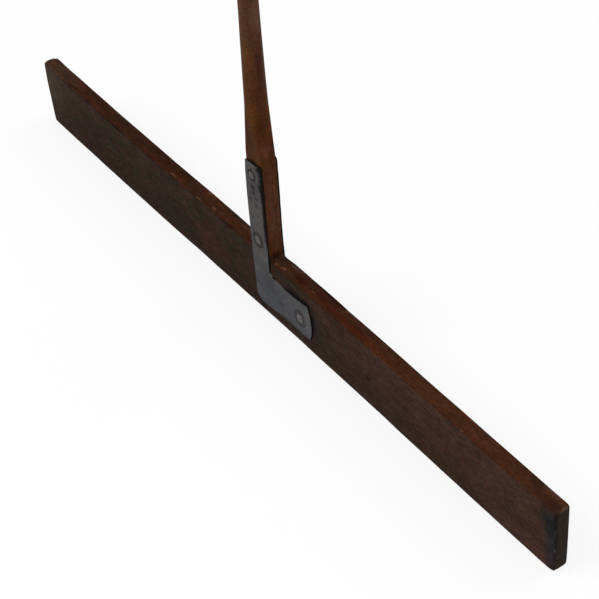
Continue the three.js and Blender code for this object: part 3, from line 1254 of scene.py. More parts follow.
@dataclass(frozen=True)
class Hole:
    """A rivet's hole in a strap, with the hammered dish round it, in metres.

    bore, head and dish are radii, depth is the dish's, and darkness is how much painted shade darkens the
    dish's iron.
    """

    x: float
    z: float
    bore: float
    head: float
    dish: float
    depth: float
    dish_shade: float


UPPER_HOLE = Hole(-4.0 * MM, 207.0 * MM, 3.4 * MM, 5.3 * MM, 7.2 * MM, 0.15 * MM, 0.55)
LOWER_HOLE = Hole(-1.5 * MM, 113.0 * MM, 3.4 * MM, 6.2 * MM, 10.0 * MM, 0.38 * MM, 0.40)
ARM_HOLE = Hole(75.5 * MM, 43.25 * MM, 3.4 * MM, 6.6 * MM, 11.0 * MM, 0.38 * MM, 0.40)


@dataclass(frozen=True)
class Knock:
    """A place where a corner has been knocked in, in millimetres."""

    place: Point
    reach: float
    push: Point

    def moved(self, x: float, y: float, z: float) -> Vector:
        """Returns how far the knock moves a point, in metres."""
        away = (Vector((x, y, z)) - Vector(self.place) * MM).length / (self.reach * MM)
        return Vector(self.push) * MM * math.exp(-away * away)


@dataclass
class ScrapingBoard:
    """The plank that stands on its edge and levels the sand.

    Stops are read along the board or up it, and end_cells are shares of the span at either end.
    """

    length: float = 1026 * MM
    height: float = 89 * MM
    thickness: float = 20 * MM
    left_heel: float = 3 * MM
    right_heel: float = 0.6 * MM
    left_corner: float = 1.2 * MM
    right_corner: float = 0.5 * MM
    top_corner: float = 1.2 * MM
    arris: float = 0.6 * MM
    mortise_width: float = 24.6 * MM
    mortise_thickness: float = 8.6 * MM
    mortise_depth: float = 40.3 * MM
    cell: float = 3 * MM
    end_span: float = 9 * MM
    foot_edge: float = 16 * MM
    lip_width: float = 8 * MM
    lip_front: float = 6.0 * MM
    lip_back: float = 3.0 * MM
    lip_start: float = 13.5 * MM
    lip_under_foot: float = 0.8
    through_cell: float = 2 * MM
    near_foot: float = 40 * MM
    corner_facets: int = 5
    arris_facets: int = 3
    foot_cells: tuple[float, ...] = (-34, -28, -22, -18, -6, 0, 6)
    lip_cells: tuple[float, ...] = (14, 16, 17, 18, 19, 20, 21, 22, 23.5, 26, 29, 32, 36)
    end_cells: tuple[float, ...] = (0.3, 0.55, 0.75, 0.88)
    bore_block: float = 6 * MM
    bore_ring: float = 4.6 * MM
    bore_facets: int = 32
    end_reach: float = 70 * MM
    swelling_rise: Span = (50 * MM, 80 * MM)
    crown_start: float = 55 * MM
    hollow_end: float = 14 * MM
    wear_reach: float = 2 * MM
    corner_reach: float = 2.4 * MM
    edge_reach: float = 1.5 * MM
    least_wear: float = 0.08
    wear_range: float = 0.32
    unevenness: float = 0.12
    bow: Stops = (
        (-513, -0.7),
        (-420, -1.1),
        (-330, -1.15),
        (-230, -0.85),
        (-110, 0.3),
        (-40, 0.0),
        (98, 0.0),
        (190, 0.8),
        (300, -0.1),
        (430, -0.6),
        (513, -0.7),
    )
    crown: Stops = (
        (-513, 2.5),
        (-490, 1.6),
        (-450, 1.3),
        (-410, 0.85),
        (-250, 0.8),
        (-20, 0.6),
        (22, 0.8),
        (42, 1.7),
        (115, 1.7),
        (205, 0.5),
        (380, 0.3),
        (470, -0.2),
    )
    hollow: Stops = (
        (-110, 0.0),
        (-60, 0.8),
        (45, 2.1),
        (85, 1.9),
        (190, 0.0),
        (488, 0.0),
        (500, 0.6),
        (513, 0.8),
    )
    swelling: Stops = ((-513, 0.6), (-200, 0.2), (22, 0.4), (42, 0.8), (105, 0.8), (150, 0.1), (205, 0.0))
    left_lean: Stops = ((0, 5.2), (75, 0.0))
    right_lean: Stops = ((0, -0.8), (30, -0.7), (60, -0.35), (89, 0.1))
    right_skew: Stops = ((0, 0.0), (89, 0.2))
    knocks: tuple[Knock, ...] = (
        Knock((513, -10, 0), 5.0, (0.0, 0.3, 0.6)),
        Knock((513, 10, 0), 3.5, (0.0, -0.3, 0.4)),
        Knock((513, 10, 89), 3.0, (-0.1, -0.2, -0.1)),
        Knock((-513, -10, 0), 8.0, (0.8, 0.2, 0.7)),
        Knock((-513, -10, 89), 4.0, (0.2, 0.2, -1.2)),
        Knock((-513, 10, 89), 5.0, (0.0, -0.4, -1.4)),
    )
    finish: BoardWood = field(default_factory=BoardWood)

    def blank(self) -> bmesh.types.BMesh:
        """Makes the plank with rounded corners and arrises, cut into small cells.

        Returns:
            The mesh.
        """
        bm = bmesh.new()
        bmesh.ops.create_cube(bm, size=1.0)
        bmesh.ops.scale(bm, vec=(self.length, self.thickness, self.height), verts=bm.verts)
        bmesh.ops.translate(bm, vec=(0.0, 0.0, self.height / 2), verts=bm.verts)
        for on_right, at_bottom, radius in (
            (False, True, self.left_heel),
            (True, True, self.right_heel),
            (False, False, self.top_corner),
            (True, False, self.top_corner),
        ):
            corners = []
            for edge in bm.edges:
                run = edge.verts[1].co - edge.verts[0].co
                middle = (edge.verts[0].co + edge.verts[1].co) / 2
                here = (middle.x > 0.0) == on_right and (middle.z < self.height / 2) == at_bottom
                if here and abs(run.y) > self.thickness / 2:
                    corners.append(edge)
            round_edges(bm, corners, radius, self.corner_facets)
        rims = []
        for edge in bm.edges:
            turned = sorted(abs(face.normal.y) for face in edge.link_faces)
            if turned[0] < ASIDE and turned[1] > FACING:
                rims.append(edge)
        round_edges(bm, rims, self.arris, self.arris_facets)
        half = self.length / 2 - self.end_span
        slice_mesh(bm, 0, (-half, -self.near_foot, self.near_foot, half))
        slice_mesh(bm, 0, (-self.mortise_width / 2, self.mortise_width / 2))
        slice_mesh(bm, 2, steps_between(self.arris, self.height - self.arris, self.cell))
        side = self.mortise_thickness / 2
        slice_mesh(bm, 1, steps_between(-self.thickness / 2, -side, self.through_cell))
        slice_mesh(bm, 1, (-side, -side / 2, 0.0, side / 2, side))
        slice_mesh(bm, 1, steps_between(side, self.thickness / 2, self.through_cell))
        for low, high in ((-half, -self.near_foot), (self.near_foot, half)):
            self.divide_span(bm, low, high)
        slice_mesh(bm, 0, [place * MM for place in self.foot_cells + self.lip_cells])
        for share in self.end_cells:
            slice_mesh(bm, 0, (-half - share * self.end_span, half + share * self.end_span))
        return bm

    def divide_span(self, bm: bmesh.types.BMesh, low: float, high: float) -> None:
        """Divides the plank's long cells between two places into short ones.

        Args:
            bm: The mesh.
            low: One end of the span.
            high: The other end.
        """
        long_edges = []
        for edge in bm.edges:
            ends = sorted(vert.co.x for vert in edge.verts)
            if abs(ends[0] - low) < MERGE and abs(ends[1] - high) < MERGE:
                long_edges.append(edge)
        count = round((high - low) / self.cell) - 1
        bmesh.ops.subdivide_edges(bm, edges=long_edges, cuts=count, use_grid_fill=True)

    def cut_mortise(self, bm: bmesh.types.BMesh) -> None:
        """Sinks the handle's mortise into the top edge.

        Args:
            bm: The mesh.
        """
        floor = []
        for face in bm.faces:
            middle = face.calc_center_median()
            inside = abs(middle.x) < self.mortise_width / 2 and abs(middle.y) < self.mortise_thickness / 2
            if inside and middle.z > self.height - ON_FACE:
                floor.append(face)
        grown = bmesh.ops.extrude_face_region(bm, geom=floor)["geom"]
        moved = [item for item in grown if isinstance(item, bmesh.types.BMVert)]
        bmesh.ops.translate(bm, vec=(0.0, 0.0, -self.mortise_depth), verts=moved)

    def lip(self, x: float, y: float) -> float:
        """Finds how far the wood stands up against the right side of the handle's foot.

        Args:
            x: The place along the board, from the lip's start to its end.
            y: The place through the board.

        Returns:
            The lip's height.
        """
        if x < self.foot_edge:
            return self.lip_front * ease(x, self.lip_start, self.foot_edge) * self.lip_under_foot
        share = min((x - self.foot_edge) / self.lip_width, 1.0)
        back = (y + self.thickness / 2) / self.thickness
        height = self.lip_front + (self.lip_back - self.lip_front) * back
        return height * (1.0 - share) ** 2

    def warp(self, x: float, y: float, z: float) -> Vector:
        """Gives a point of the true plank its place on the old one.

        Args:
            x: The point's place along the board.
            y: Its place through the board.
            z: Its height.

        Returns:
            The place, after the board's slight bow, worn-out scraping edge and out-of-square ends.
        """
        end = self.length / 2
        lean = along(z, self.left_lean if x < 0.0 else self.right_lean)
        if x > 0.0:
            lean += along(z, self.right_skew) * y / (self.thickness / 2)
        lean *= ease(abs(x), end - self.end_reach, end)
        back = max(y, 0.0) / (self.thickness / 2)
        through = along(x, self.bow) + along(x, self.swelling) * back * ease(z, *self.swelling_rise)
        upper = ease(z, self.crown_start, self.height)
        lower = ease(z, self.hollow_end, 0.0)
        up = along(x, self.crown) * upper + along(x, self.hollow) * lower
        return Vector((x - lean * math.copysign(1.0, x), y + through, z + up))

    def wear(self, bm: bmesh.types.BMesh) -> None:
        """Moves the vertices as years of use have: worn arrises and corners, uneven faces and a warp.

        Args:
            bm: The mesh.
        """
        half = self.thickness / 2
        end = self.length / 2
        for vert in bm.verts:
            x, y, z = vert.co
            inside_x = abs(x) < self.mortise_width / 2 + ON_FACE
            if inside_x and abs(y) < self.mortise_thickness / 2 + ON_FACE:
                continue
            side = -1.0 if y < 0.0 else 1.0
            top = z > self.height / 2
            gap_x = end - abs(x)
            gap_y = half - abs(y)
            gap_z = self.height - z if top else z
            near = math.exp(-((gap_y / self.wear_reach) ** 2) - (gap_z / self.wear_reach) ** 2)
            # Each drift has offsets of its own, which keep the noises of the faces and arrises apart.
            rubbed = max(0.0, drift(x * 24.0, 3.1 * side + (7.7 if top else 0.0), 0.0))
            worn = self.least_wear + self.wear_range * rubbed
            corner = (self.left_corner if x < 0.0 else self.right_corner) / MM
            corner *= math.exp(-((gap_x / self.corner_reach) ** 2) - (gap_y / self.corner_reach) ** 2)
            uneven = self.unevenness * drift(x * 22.0, z * 45.0, side * 4.0)
            uneven *= ease(gap_y, self.edge_reach, 0.0)
            level = self.unevenness * drift(x * 16.0, y * 90.0, 9.0 if top else 5.0)
            level *= ease(gap_z, self.edge_reach, 0.0)
            place = self.warp(x, y, z)
            for knock in self.knocks:
                place += knock.moved(x, y, z)
            place.x -= math.copysign(corner * MM, x)
            place.y -= side * (worn * near + corner + uneven) * MM
            place.z += (level - worn * near if top else worn * near + max(level, 0.0)) * MM
            if top and self.lip_start < x < self.foot_edge + self.lip_width:
                place.z += self.lip(x, y) * ease(gap_z, 3 * MM, 0.0)
            vert.co = place

    def bore(self, bm: bmesh.types.BMesh) -> None:
        """Drills the hole of the arm's rivet through both faces.

        Args:
            bm: The mesh.
        """
        rings = (self.bore_ring, ARM_HOLE.bore)
        loops = []
        for side in (-1.0, 1.0):
            centre = (ARM_HOLE.x, side * self.thickness / 2, ARM_HOLE.z)
            loops += punch_ring(bm, centre, self.bore_block, rings, self.bore_facets)
        bmesh.ops.bridge_loops(bm, edges=loops)

    def build(self, effects: Effects) -> bpy.types.Object:
        """Builds the board and dresses it.

        Args:
            effects: The shared groups.

        Returns:
            The board's object.
        """
        bm = self.blank()
        self.cut_mortise(bm)
        self.bore(bm)
        self.wear(bm)
        material = self.finish.material(effects, self)
        return finish_piece(bm, "weathered_board", "board", material, crease=50.0)


@dataclass(frozen=True)
class Section:
    """A cross-section of the handle: its height and its half widths with the rounding of its corners."""

    z: float
    half_x: float
    half_y: float
    corner: float

    def reach(self, angle: float) -> float:
        """Returns how far the outline lies from the middle in one direction.

        Args:
            angle: The direction in radians from +X.

        Returns:
            The distance in metres.
        """
        across = abs(math.cos(angle))
        through = abs(math.sin(angle))
        straight_x = self.half_x - self.corner
        straight_y = self.half_y - self.corner
        if self.half_x * through <= straight_y * across:
            return self.half_x / across
        if self.half_y * across <= straight_x * through:
            return self.half_y / through
        to_centre = across * straight_x + through * straight_y
        rest = self.corner**2 - straight_x**2 - straight_y**2 + to_centre**2
        return to_centre + math.sqrt(max(rest, 0.0))


@dataclass
class Handle:
    """The upright handle: a tenon, a flat-sided foot, a swell and a long taper.

    fullness is the corner of a round section as a share of its half width, just short of a point's.
    """

    shoulder: float = 89 * MM
    top: float = 1500 * MM
    foot_width: float = 32 * MM
    foot_thickness: float = 20 * MM
    foot_arris: float = 1.5 * MM
    tenon_width: float = 24 * MM
    tenon_thickness: float = 8 * MM
    tenon_depth: float = 40 * MM
    blend_start: float = 147 * MM
    blend_length: float = 68 * MM
    swell: float = 26.6 * MM
    shaft: float = 20.5 * MM
    taper: float = 300 * MM
    taper_ease: float = 1.8
    dome: float = 7 * MM
    chamfer: float = 0.8 * MM
    fullness: float = 0.999
    foot_step: float = 5 * MM
    blend_step: float = 3.5 * MM
    shaft_step: float = 8 * MM
    round_steps: int = 72
    corner_turns: tuple[float, ...] = (-3.2, -1.6, 0.0, 1.6, 3.2)
    dome_turns: tuple[float, ...] = (20, 38, 54, 68, 80, 86)
    waviness: float = 0.18 * MM
    wave_rise: float = 30 * MM
    lean: float = 0.35 * MM
    lean_rise: Span = (340 * MM, 480 * MM)
    lean_way: Span = (0.5, 0.8)
    finish: HandleWood = field(default_factory=HandleWood)

    def angles(self) -> list[float]:
        """Lists the directions of a ring's vertices, closer together at the foot's corners.

        Returns:
            The directions in radians from +X, in order.
        """
        found = {FULL_TURN * index / self.round_steps for index in range(self.round_steps)}
        corner = math.atan2(self.foot_thickness, self.foot_width)
        for middle in (corner, math.pi - corner, math.pi + corner, FULL_TURN - corner):
            found |= {middle + math.radians(turn) for turn in self.corner_turns}
        return sorted(found)

    def radius(self, z: float) -> float:
        """Works out the round part's radius.

        Args:
            z: A height above the blend.

        Returns:
            The radius there.
        """
        start = self.shoulder + self.blend_start + self.blend_length
        share = min(max((z - start) / self.taper, 0.0), 1.0)
        return self.shaft / 2 + (self.swell - self.shaft) / 2 * (1.0 - share) ** self.taper_ease

    def sections(self) -> list[Section]:
        """Lists the handle's cross-sections.

        Returns:
            The sections from the tenon's end to the domed top.
        """
        half_x = self.foot_width / 2
        half_y = self.foot_thickness / 2
        tenon_x = self.tenon_width / 2
        tenon_y = self.tenon_thickness / 2
        bottom = self.shoulder - self.tenon_depth
        cut = self.chamfer
        found = [
            Section(bottom, tenon_x - cut, tenon_y - cut, cut),
            Section(bottom + cut, tenon_x, tenon_y, cut),
            Section(self.shoulder, tenon_x, tenon_y, cut),
            Section(self.shoulder, half_x - cut, half_y - cut, cut),
            Section(self.shoulder + cut, half_x, half_y, self.foot_arris),
        ]
        flat_end = self.shoulder + self.blend_start
        for z in steps_between(self.shoulder + cut, flat_end, self.foot_step):
            found.append(Section(z, half_x, half_y, self.foot_arris))
        found.append(Section(flat_end, half_x, half_y, self.foot_arris))
        round_start = flat_end + self.blend_length
        for z in steps_between(flat_end, round_start, self.blend_step):
            share = (z - flat_end) / self.blend_length
            wide = half_x + (self.swell / 2 - half_x) * share
            thick = half_y + (self.swell / 2 - half_y) * share
            rounding = self.foot_arris + (self.swell / 2 - self.foot_arris) * share
            found.append(Section(z, wide, thick, min(rounding, thick * self.fullness)))
        dome_start = self.top - self.dome
        for z in [round_start] + steps_between(round_start, dome_start, self.shaft_step) + [dome_start]:
            radius = self.radius(z)
            found.append(Section(z, radius, radius, radius * self.fullness))
        for turn in self.dome_turns:
            radius = self.shaft / 2 * math.cos(math.radians(turn))
            z = dome_start + self.dome * math.sin(math.radians(turn))
            found.append(Section(z, radius, radius, radius * self.fullness))
        return found

    def build(self, effects: Effects) -> bpy.types.Object:
        """Builds the handle and dresses it.

        Args:
            effects: The shared groups.

        Returns:
            The handle's object.
        """
        angles = self.angles()
        sections = self.sections()
        free_from = self.shoulder + self.blend_start
        bm = bmesh.new()
        bmesh.ops.create_grid(bm, x_segments=len(angles), y_segments=len(sections) - 1, size=1.0)
        for vert in bm.verts:
            # The grid's X stands for the direction round the handle, and its Y for the section.
            turn = angles[round((vert.co.x + 1.0) / 2.0 * len(angles)) % len(angles)]
            section = sections[round((vert.co.y + 1.0) / 2.0 * (len(sections) - 1))]
            free = ease(section.z, free_from, free_from + self.wave_rise)
            wave = drift(math.cos(turn) * 1.3, math.sin(turn) * 1.3, section.z * 22.0)
            reach = section.reach(turn) + free * self.waviness * wave
            lean = self.lean * ease(section.z, *self.lean_rise)
            x = reach * math.cos(turn) + lean * self.lean_way[0]
            y = reach * math.sin(turn) + lean * self.lean_way[1]
            vert.co = (x, y, section.z)
        bmesh.ops.remove_doubles(bm, verts=bm.verts[:], dist=MERGE)
        rim = [edge for edge in bm.edges if edge.is_boundary]
        bmesh.ops.holes_fill(bm, edges=rim, sides=0)
        material = self.finish.material(effects, self)
        return finish_piece(bm, "polished_handle", "handle", material, crease=40.0)


class Side(Enum):
    """The face of the rake that a strap lies on."""

    FRONT = -1
    REAR = 1


@dataclass(frozen=True)
class Corner:
    """A corner of the strap's outline in millimetres, with its rounding."""

    x: float
    z: float
    rounding: float = 0.0


@dataclass
class Strap:
    """One L-shaped iron strap: an upright on the handle's foot and an arm along the board.

    Edges sharper than rim_angle degrees are rims. The hammer's marks die out at raised_from of the
    thickness, and rim_depth is the share of a dish's depth that its steep rim has.
    """

    side: Side
    inner_face: float = 10 * MM
    thickness: float = 2 * MM
    edge: float = 0.35 * MM
    cell: float = 3 * MM
    hammering: float = 0.22 * MM
    waver: float = 0.28 * MM
    corner_facets: int = 5
    edge_facets: int = 2
    ring_facets: int = 48
    block_margin: float = 1.0 * MM
    grid_x: Span = (-18 * MM, 99 * MM)
    grid_z: Span = (15 * MM, 237 * MM)
    line_gap: float = 0.9 * MM
    rim_angle: float = 60.0
    raised_from: float = 0.4
    rim_depth: float = 0.65
    rim_width: float = 0.7 * MM
    bowl_width: float = 2.2 * MM
    holes: tuple[Hole, ...] = (UPPER_HOLE, LOWER_HOLE, ARM_HOLE)
    front_crest: tuple[Corner, ...] = (
        Corner(-15.6, 224.8, 2.2),
        Corner(4.5, 225.2),
        Corner(15.2, 228.8, 2.0),
        Corner(16.6, 221.0),
        Corner(16.6, 186.0),
        Corner(16.2, 150.0),
        Corner(16.4, 116.0),
        Corner(16.4, 89.0),
    )
    rear_crest: tuple[Corner, ...] = (
        Corner(-15.6, 233.2, 2.6),
        Corner(6.6, 234.2, 3.0),
        Corner(15.2, 231.4, 2.6),
        Corner(15.7, 205.0),
        Corner(15.4, 181.0),
        Corner(15.4, 157.0),
        Corner(15.0, 132.0),
        Corner(15.4, 108.0),
        Corner(16.7, 89.0),
    )
    outline: tuple[Corner, ...] = (
        Corner(17.1, 70.6, 3.2),
        Corner(36.0, 68.4),
        Corner(64.0, 68.6),
        Corner(77.0, 70.2),
        Corner(91.6, 72.2, 1.6),
        Corner(95.4, 60.5),
        Corner(97.9, 45.0),
        Corner(97.0, 32.0),
        Corner(93.3, 21.6, 1.4),
        Corner(72.0, 20.9),
        Corner(36.0, 20.4),
        Corner(10.0, 16.8),
        Corner(-2.0, 16.5, 3.0),
        Corner(-9.0, 18.6, 3.0),
        Corner(-13.6, 26.4, 3.0),
        Corner(-13.8, 44.0),
        Corner(-15.0, 67.0),
        Corner(-16.0, 95.0),
        Corner(-16.4, 126.0),
        Corner(-17.0, 147.0),
        Corner(-17.2, 177.0),
        Corner(-16.5, 206.0),
    )
    finish: StrapIron = field(default_factory=StrapIron)

    @property
    def name(self) -> str:
        """Returns the strap's name."""
        return self.side.name.lower() + "_strap_plate"

    def corners(self) -> list[Corner]:
        """Returns the outline's corners, with the crest of this strap's own side."""
        crest = self.front_crest if self.side is Side.FRONT else self.rear_crest
        return list(crest + self.outline)

    def sheet(self) -> bmesh.types.BMesh:
        """Makes the strap's outer face as a gridded sheet with its holes.

        Returns:
            The mesh.
        """
        bm = bmesh.new()
        outer = self.side.value * (self.inner_face + self.thickness)
        outline = self.corners()
        corners = [bm.verts.new((corner.x * MM, outer, corner.z * MM)) for corner in outline]
        bm.faces.new(corners)
        for vert, corner in zip(corners, outline):
            if corner.rounding > 0.0:
                bmesh.ops.bevel(
                    bm,
                    geom=[vert],
                    offset=corner.rounding * MM,
                    offset_type="OFFSET",
                    segments=self.corner_facets,
                    profile=0.5,
                    affect="VERTICES",
                    material=-1,
                )
        blocks = [hole.dish + self.block_margin for hole in self.holes]
        uprights = {round(value, 6) for value in steps_between(*self.grid_x, self.cell)}
        levels = {round(value, 6) for value in steps_between(*self.grid_z, self.cell)}
        for hole, half in zip(self.holes, blocks):
            for lines, middle in ((uprights, hole.x), (levels, hole.z)):
                for place in (middle - half, middle + half):
                    lines -= {line for line in lines if abs(line - place) < self.line_gap}
                    lines.add(place)
        slice_mesh(bm, 0, sorted(uprights))
        slice_mesh(bm, 2, sorted(levels))
        for hole, half in zip(self.holes, blocks):
            rings = [hole.dish, hole.dish - 0.5 * MM]
            rings += [hole.dish - 1.1 * MM, hole.head + 0.5 * MM, hole.head - 0.6 * MM, hole.bore]
            punch_ring(bm, (hole.x, outer, hole.z), half, rings, self.ring_facets)
        return bm

    def dish(self, x: float, z: float) -> float:
        """Finds how deep the hammer has sunk the plate round the rivets.

        Args:
            x: A place along the board.
            z: Its height.

        Returns:
            The depth there.
        """
        for hole in self.holes:
            inwards = hole.dish - math.hypot(x - hole.x, z - hole.z)
            if inwards > 0.0:
                rim = self.rim_depth * ease(inwards, 0.0, self.rim_width)
                return hole.depth * (rim + (1.0 - self.rim_depth) * ease(inwards, 0.0, self.bowl_width))
        return 0.0

    def build(self, effects: Effects) -> bpy.types.Object:
        """Builds the strap and dresses it.

        Args:
            effects: The shared groups.

        Returns:
            The strap's object.
        """
        bm = self.sheet()
        grown = bmesh.ops.extrude_face_region(bm, geom=bm.faces[:])["geom"]
        moved = [item for item in grown if isinstance(item, bmesh.types.BMVert)]
        inward = -self.side.value * self.thickness
        bmesh.ops.translate(bm, vec=(0.0, inward, 0.0), verts=moved)
        bmesh.ops.recalc_face_normals(bm, faces=bm.faces[:])
        sharp = math.radians(self.rim_angle)
        rims = [edge for edge in bm.edges if edge.calc_face_angle(0.0) > sharp]
        round_edges(bm, rims, self.edge, self.edge_facets)
        raised_start = self.inner_face + self.raised_from * self.thickness
        for vert in bm.verts:
            x, y, z = vert.co
            raised = ease(abs(y), raised_start, self.inner_face + self.thickness)
            # Broad blows and finer ones, which only sink the plate's outer face.
            beat = drift(x * 70.0, 3.0 * self.side.value, z * 70.0)
            beat += 0.5 * drift(x * 150.0, 11.0, z * 150.0)
            y -= self.side.value * raised * (self.dish(x, z) + self.hammering * (0.7 + beat) * 0.6)
            x += self.waver * drift(z * 60.0, 5.0, x * 40.0)
            z += self.waver * drift(x * 60.0, 8.0, z * 40.0)
            vert.co = (x, y, z)
        material = self.finish.material(effects, self)
        node = self.side.name.lower() + "_strap"
        return finish_piece(bm, self.name, node, material, crease=42.0)


@dataclass
class Rivet:
    """A rivet through both straps, hammered over at both ends.

    crown pairs shares of the head's radius with how far its dome has fallen there.
    """

    name: str
    node: str
    hole: Hole
    strap_face: float = 12 * MM
    shank: float = 3.25 * MM
    dome: float = 0.62 * MM
    skirt: float = 0.6 * MM
    segments: int = 44
    unevenness: float = 0.05
    dent: float = 0.10 * MM
    crown: Stops = (
        (0.0, 0.0),
        (0.3, 0.03),
        (0.55, 0.12),
        (0.75, 0.27),
        (0.88, 0.45),
        (0.96, 0.68),
        (1.0, 0.98),
    )
    finish: RivetIron = field(default_factory=RivetIron)

    def half_profile(self) -> list[tuple[float, float]]:
        """Draws the profile of the head and half the shank's.

        Returns:
            Pairs of a radius and a distance from the rake's middle plane, from the head's pole inwards.
        """
        pole = self.strap_face + self.dome
        head = self.hole.head
        points = [(head * radius, pole - self.dome * fall) for radius, fall in self.crown]
        points.append((head, self.strap_face - self.skirt))
        points.append((self.shank, self.strap_face - self.skirt))
        return points

    def build(self, effects: Effects) -> bpy.types.Object:
        """Builds the rivet and dresses it.

        Args:
            effects: The shared groups.

        Returns:
            The rivet's object.
        """
        half = self.half_profile()
        profile = [(radius, -depth) for radius, depth in half]
        profile += [(radius, depth) for radius, depth in reversed(half)]
        bm = bmesh.new()
        centre_x, centre_z = self.hole.x, self.hole.z
        verts = [bm.verts.new((centre_x + radius, y, centre_z)) for radius, y in profile]
        edges = [bm.edges.new(pair) for pair in zip(verts, verts[1:])]
        bmesh.ops.spin(
            bm,
            geom=verts + edges,
            cent=(centre_x, 0.0, centre_z),
            axis=(0.0, 1.0, 0.0),
            dvec=(0.0, 0.0, 0.0),
            angle=FULL_TURN,
            steps=self.segments,
            use_merge=True,
            use_duplicate=False,
        )
        bmesh.ops.remove_doubles(bm, verts=bm.verts[:], dist=MERGE)
        for vert in bm.verts:
            x, y, z = vert.co
            away_x, away_z = x - centre_x, z - centre_z
            if abs(y) < self.strap_face or math.hypot(away_x, away_z) < MERGE:
                continue
            turn = math.atan2(away_z, away_x)
            uneven = drift(math.cos(turn) * 1.4, y * 90.0, math.sin(turn) * 1.4 + centre_z * 30.0)
            stretch = 1.0 + self.unevenness * uneven
            dent = self.dent * drift(x * 260.0, y * 40.0, z * 260.0)
            x = centre_x + away_x * stretch
            z = centre_z + away_z * stretch
            vert.co = (x, y + math.copysign(dent, y), z)
        material = self.finish.material(effects, self)
        return finish_piece(bm, self.name, self.node, material, crease=45.0)


# The camera, the lamps and the floor.


@dataclass(frozen=True)
class Photograph:
    """The camera at the photograph's place and angle, for a square frame.

    The focal length is in the photograph's pixels, the sensor in millimetres and the turn in degrees.
    """

    frame_pixels: float = 599.0
    focal_pixels: float = 1816.88
    sensor: float = 36.0
    place: Point = (1.377277, -0.865576, 1.475654)
    turn: Point = (47.91272, 2.97905, 54.02874)
    clip: Span = (0.05, 60.0)

    def build(self) -> bpy.types.Object:
        """Makes the camera the scene's own.

        Returns:
            The camera's object.
        """
        lens = bpy.data.cameras.new("photograph")
        lens.sensor_width = self.sensor
        lens.lens = self.focal_pixels * self.sensor / self.frame_pixels
        lens.clip_start, lens.clip_end = self.clip
        camera = bpy.data.objects.new("photograph", lens)
        camera.location = self.place
        camera.rotation_euler = [math.radians(part) for part in self.turn]
        bpy.context.scene.collection.objects.link(camera)
        bpy.context.scene.camera = camera
        return camera


@dataclass(frozen=True)
class Lamp:
    """A soft square lamp that points at the rake."""

    name: str
    place: Point
    size: float
    watts: float
    aim: Point = (0.0, 0.0, 0.2)

    def build(self) -> bpy.types.Object:
        """Hangs the lamp.

        Returns:
            The lamp's object.
        """
        light = bpy.data.lights.new(self.name, "AREA")
        light.size = self.size
        light.energy = self.watts
        lamp = bpy.data.objects.new(self.name, light)
        lamp.location = self.place
        towards = Vector(self.aim) - Vector(self.place)
        lamp.rotation_euler = towards.to_track_quat("-Z", "Y").to_euler()
        bpy.context.scene.collection.objects.link(lamp)
        return lamp


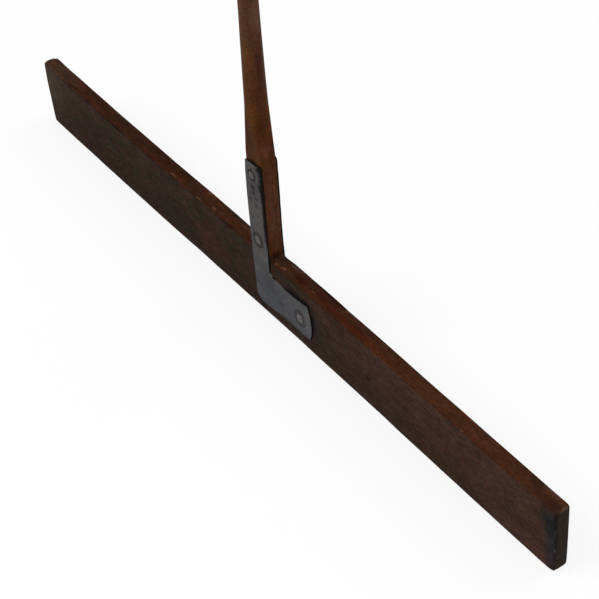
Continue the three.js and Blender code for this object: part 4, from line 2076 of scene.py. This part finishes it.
@dataclass(frozen=True)
class Studio:
    """A plain pale floor under soft light, against white."""

    floor_size: float = 24.0
    floor_tone: float = 0.90
    floor_white: float = 0.80
    ambient: float = 0.56
    floor_gap: float = 0.1 * MM
    lamps: tuple[Lamp, ...] = (
        Lamp("key", (-1.6, -2.6, 3.0), 2.4, 82.0),
        Lamp("fill", (2.6, -0.8, 2.6), 2.4, 32.0),
        Lamp("back", (0.6, 2.8, 2.6), 2.4, 31.0),
    )

    def shown_white(self, graph: Graph) -> Socket:
        """Marks the rays that see the background: the camera's, and those that metal or glass sends on.

        Args:
            graph: The graph of the world or of the floor.

        Returns:
            1 for such rays and 0 for the others.
        """
        path = graph.node("ShaderNodeLightPath").outputs
        seen = graph.math("MAXIMUM", path["Is Camera Ray"], path["Is Glossy Ray"])
        return graph.math("MAXIMUM", seen, path["Is Transmission Ray"])

    def world(self) -> None:
        """Makes the world white where it is seen, and a soft light elsewhere."""
        world = bpy.data.worlds.new("studio")
        world.use_nodes = True
        world.node_tree.nodes.clear()
        graph = Graph(world.node_tree)
        background = graph.node("ShaderNodeBackground")
        background.inputs["Color"].default_value = (1.0, 1.0, 1.0, 1.0)
        strength = graph.remap(self.shown_white(graph), *WHOLE, start=self.ambient, end=1.0)
        graph.feed(background.inputs["Strength"], strength)
        output = graph.node("ShaderNodeOutputWorld")
        graph.feed(output.inputs["Surface"], background.outputs[0])
        bpy.context.scene.world = world

    def floor(self) -> bpy.types.Object:
        """Lays the floor, which keeps the rake's shadow.

        Returns:
            The floor's object.
        """
        material = bpy.data.materials.new("pale_floor")
        material.use_nodes = True
        material.node_tree.nodes.clear()
        graph = Graph(material.node_tree)
        matt = graph.node("ShaderNodeBsdfDiffuse")
        matt.inputs["Color"].default_value = (self.floor_tone, self.floor_tone, self.floor_tone, 1.0)
        white = graph.node("ShaderNodeEmission")
        blend = graph.node("ShaderNodeMixShader")
        graph.feed(blend.inputs[0], graph.math("MULTIPLY", self.shown_white(graph), self.floor_white))
        graph.feed(blend.inputs[1], matt.outputs[0])
        graph.feed(blend.inputs[2], white.outputs[0])
        output = graph.node("ShaderNodeOutputMaterial")
        graph.feed(output.inputs["Surface"], blend.outputs[0])
        bm = bmesh.new()
        bmesh.ops.create_grid(bm, x_segments=1, y_segments=1, size=self.floor_size / 2)
        bmesh.ops.translate(bm, vec=(0.0, 0.0, -self.floor_gap), verts=bm.verts)
        mesh = bpy.data.meshes.new("pale_floor")
        bm.to_mesh(mesh)
        bm.free()
        mesh.materials.append(material)
        floor = bpy.data.objects.new("pale_floor", mesh)
        bpy.context.scene.collection.objects.link(floor)
        return floor

    def build(self) -> None:
        """Sets the world, the floor and the lamps up, and leaves colours plain."""
        bpy.context.scene.view_settings.view_transform = "Standard"
        self.world()
        self.floor()
        for lamp in self.lamps:
            lamp.build()


def report(piece: bpy.types.Object) -> None:
    """Logs a piece's name and how many faces it has."""
    log.info("%s: %d faces", piece.name, len(piece.data.polygons))


def main() -> None:
    """Builds the studio, the camera and the rake's pieces in order, and logs each piece's face count."""
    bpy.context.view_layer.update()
    Photograph().build()
    Studio().build()
    effects = Effects()
    report(ScrapingBoard().build(effects))
    report(Handle().build(effects))
    for side in Side:
        report(Strap(side).build(effects))
    rivets = (
        Rivet("upper_rivet_head", "upper_handle_rivet", UPPER_HOLE),
        Rivet("lower_rivet_head", "lower_handle_rivet", LOWER_HOLE),
        Rivet("arm_rivet_head", "arm_rivet", ARM_HOLE),
    )
    for rivet in rivets:
        report(rivet.build(effects))


if __name__ == "__main__":
    main()
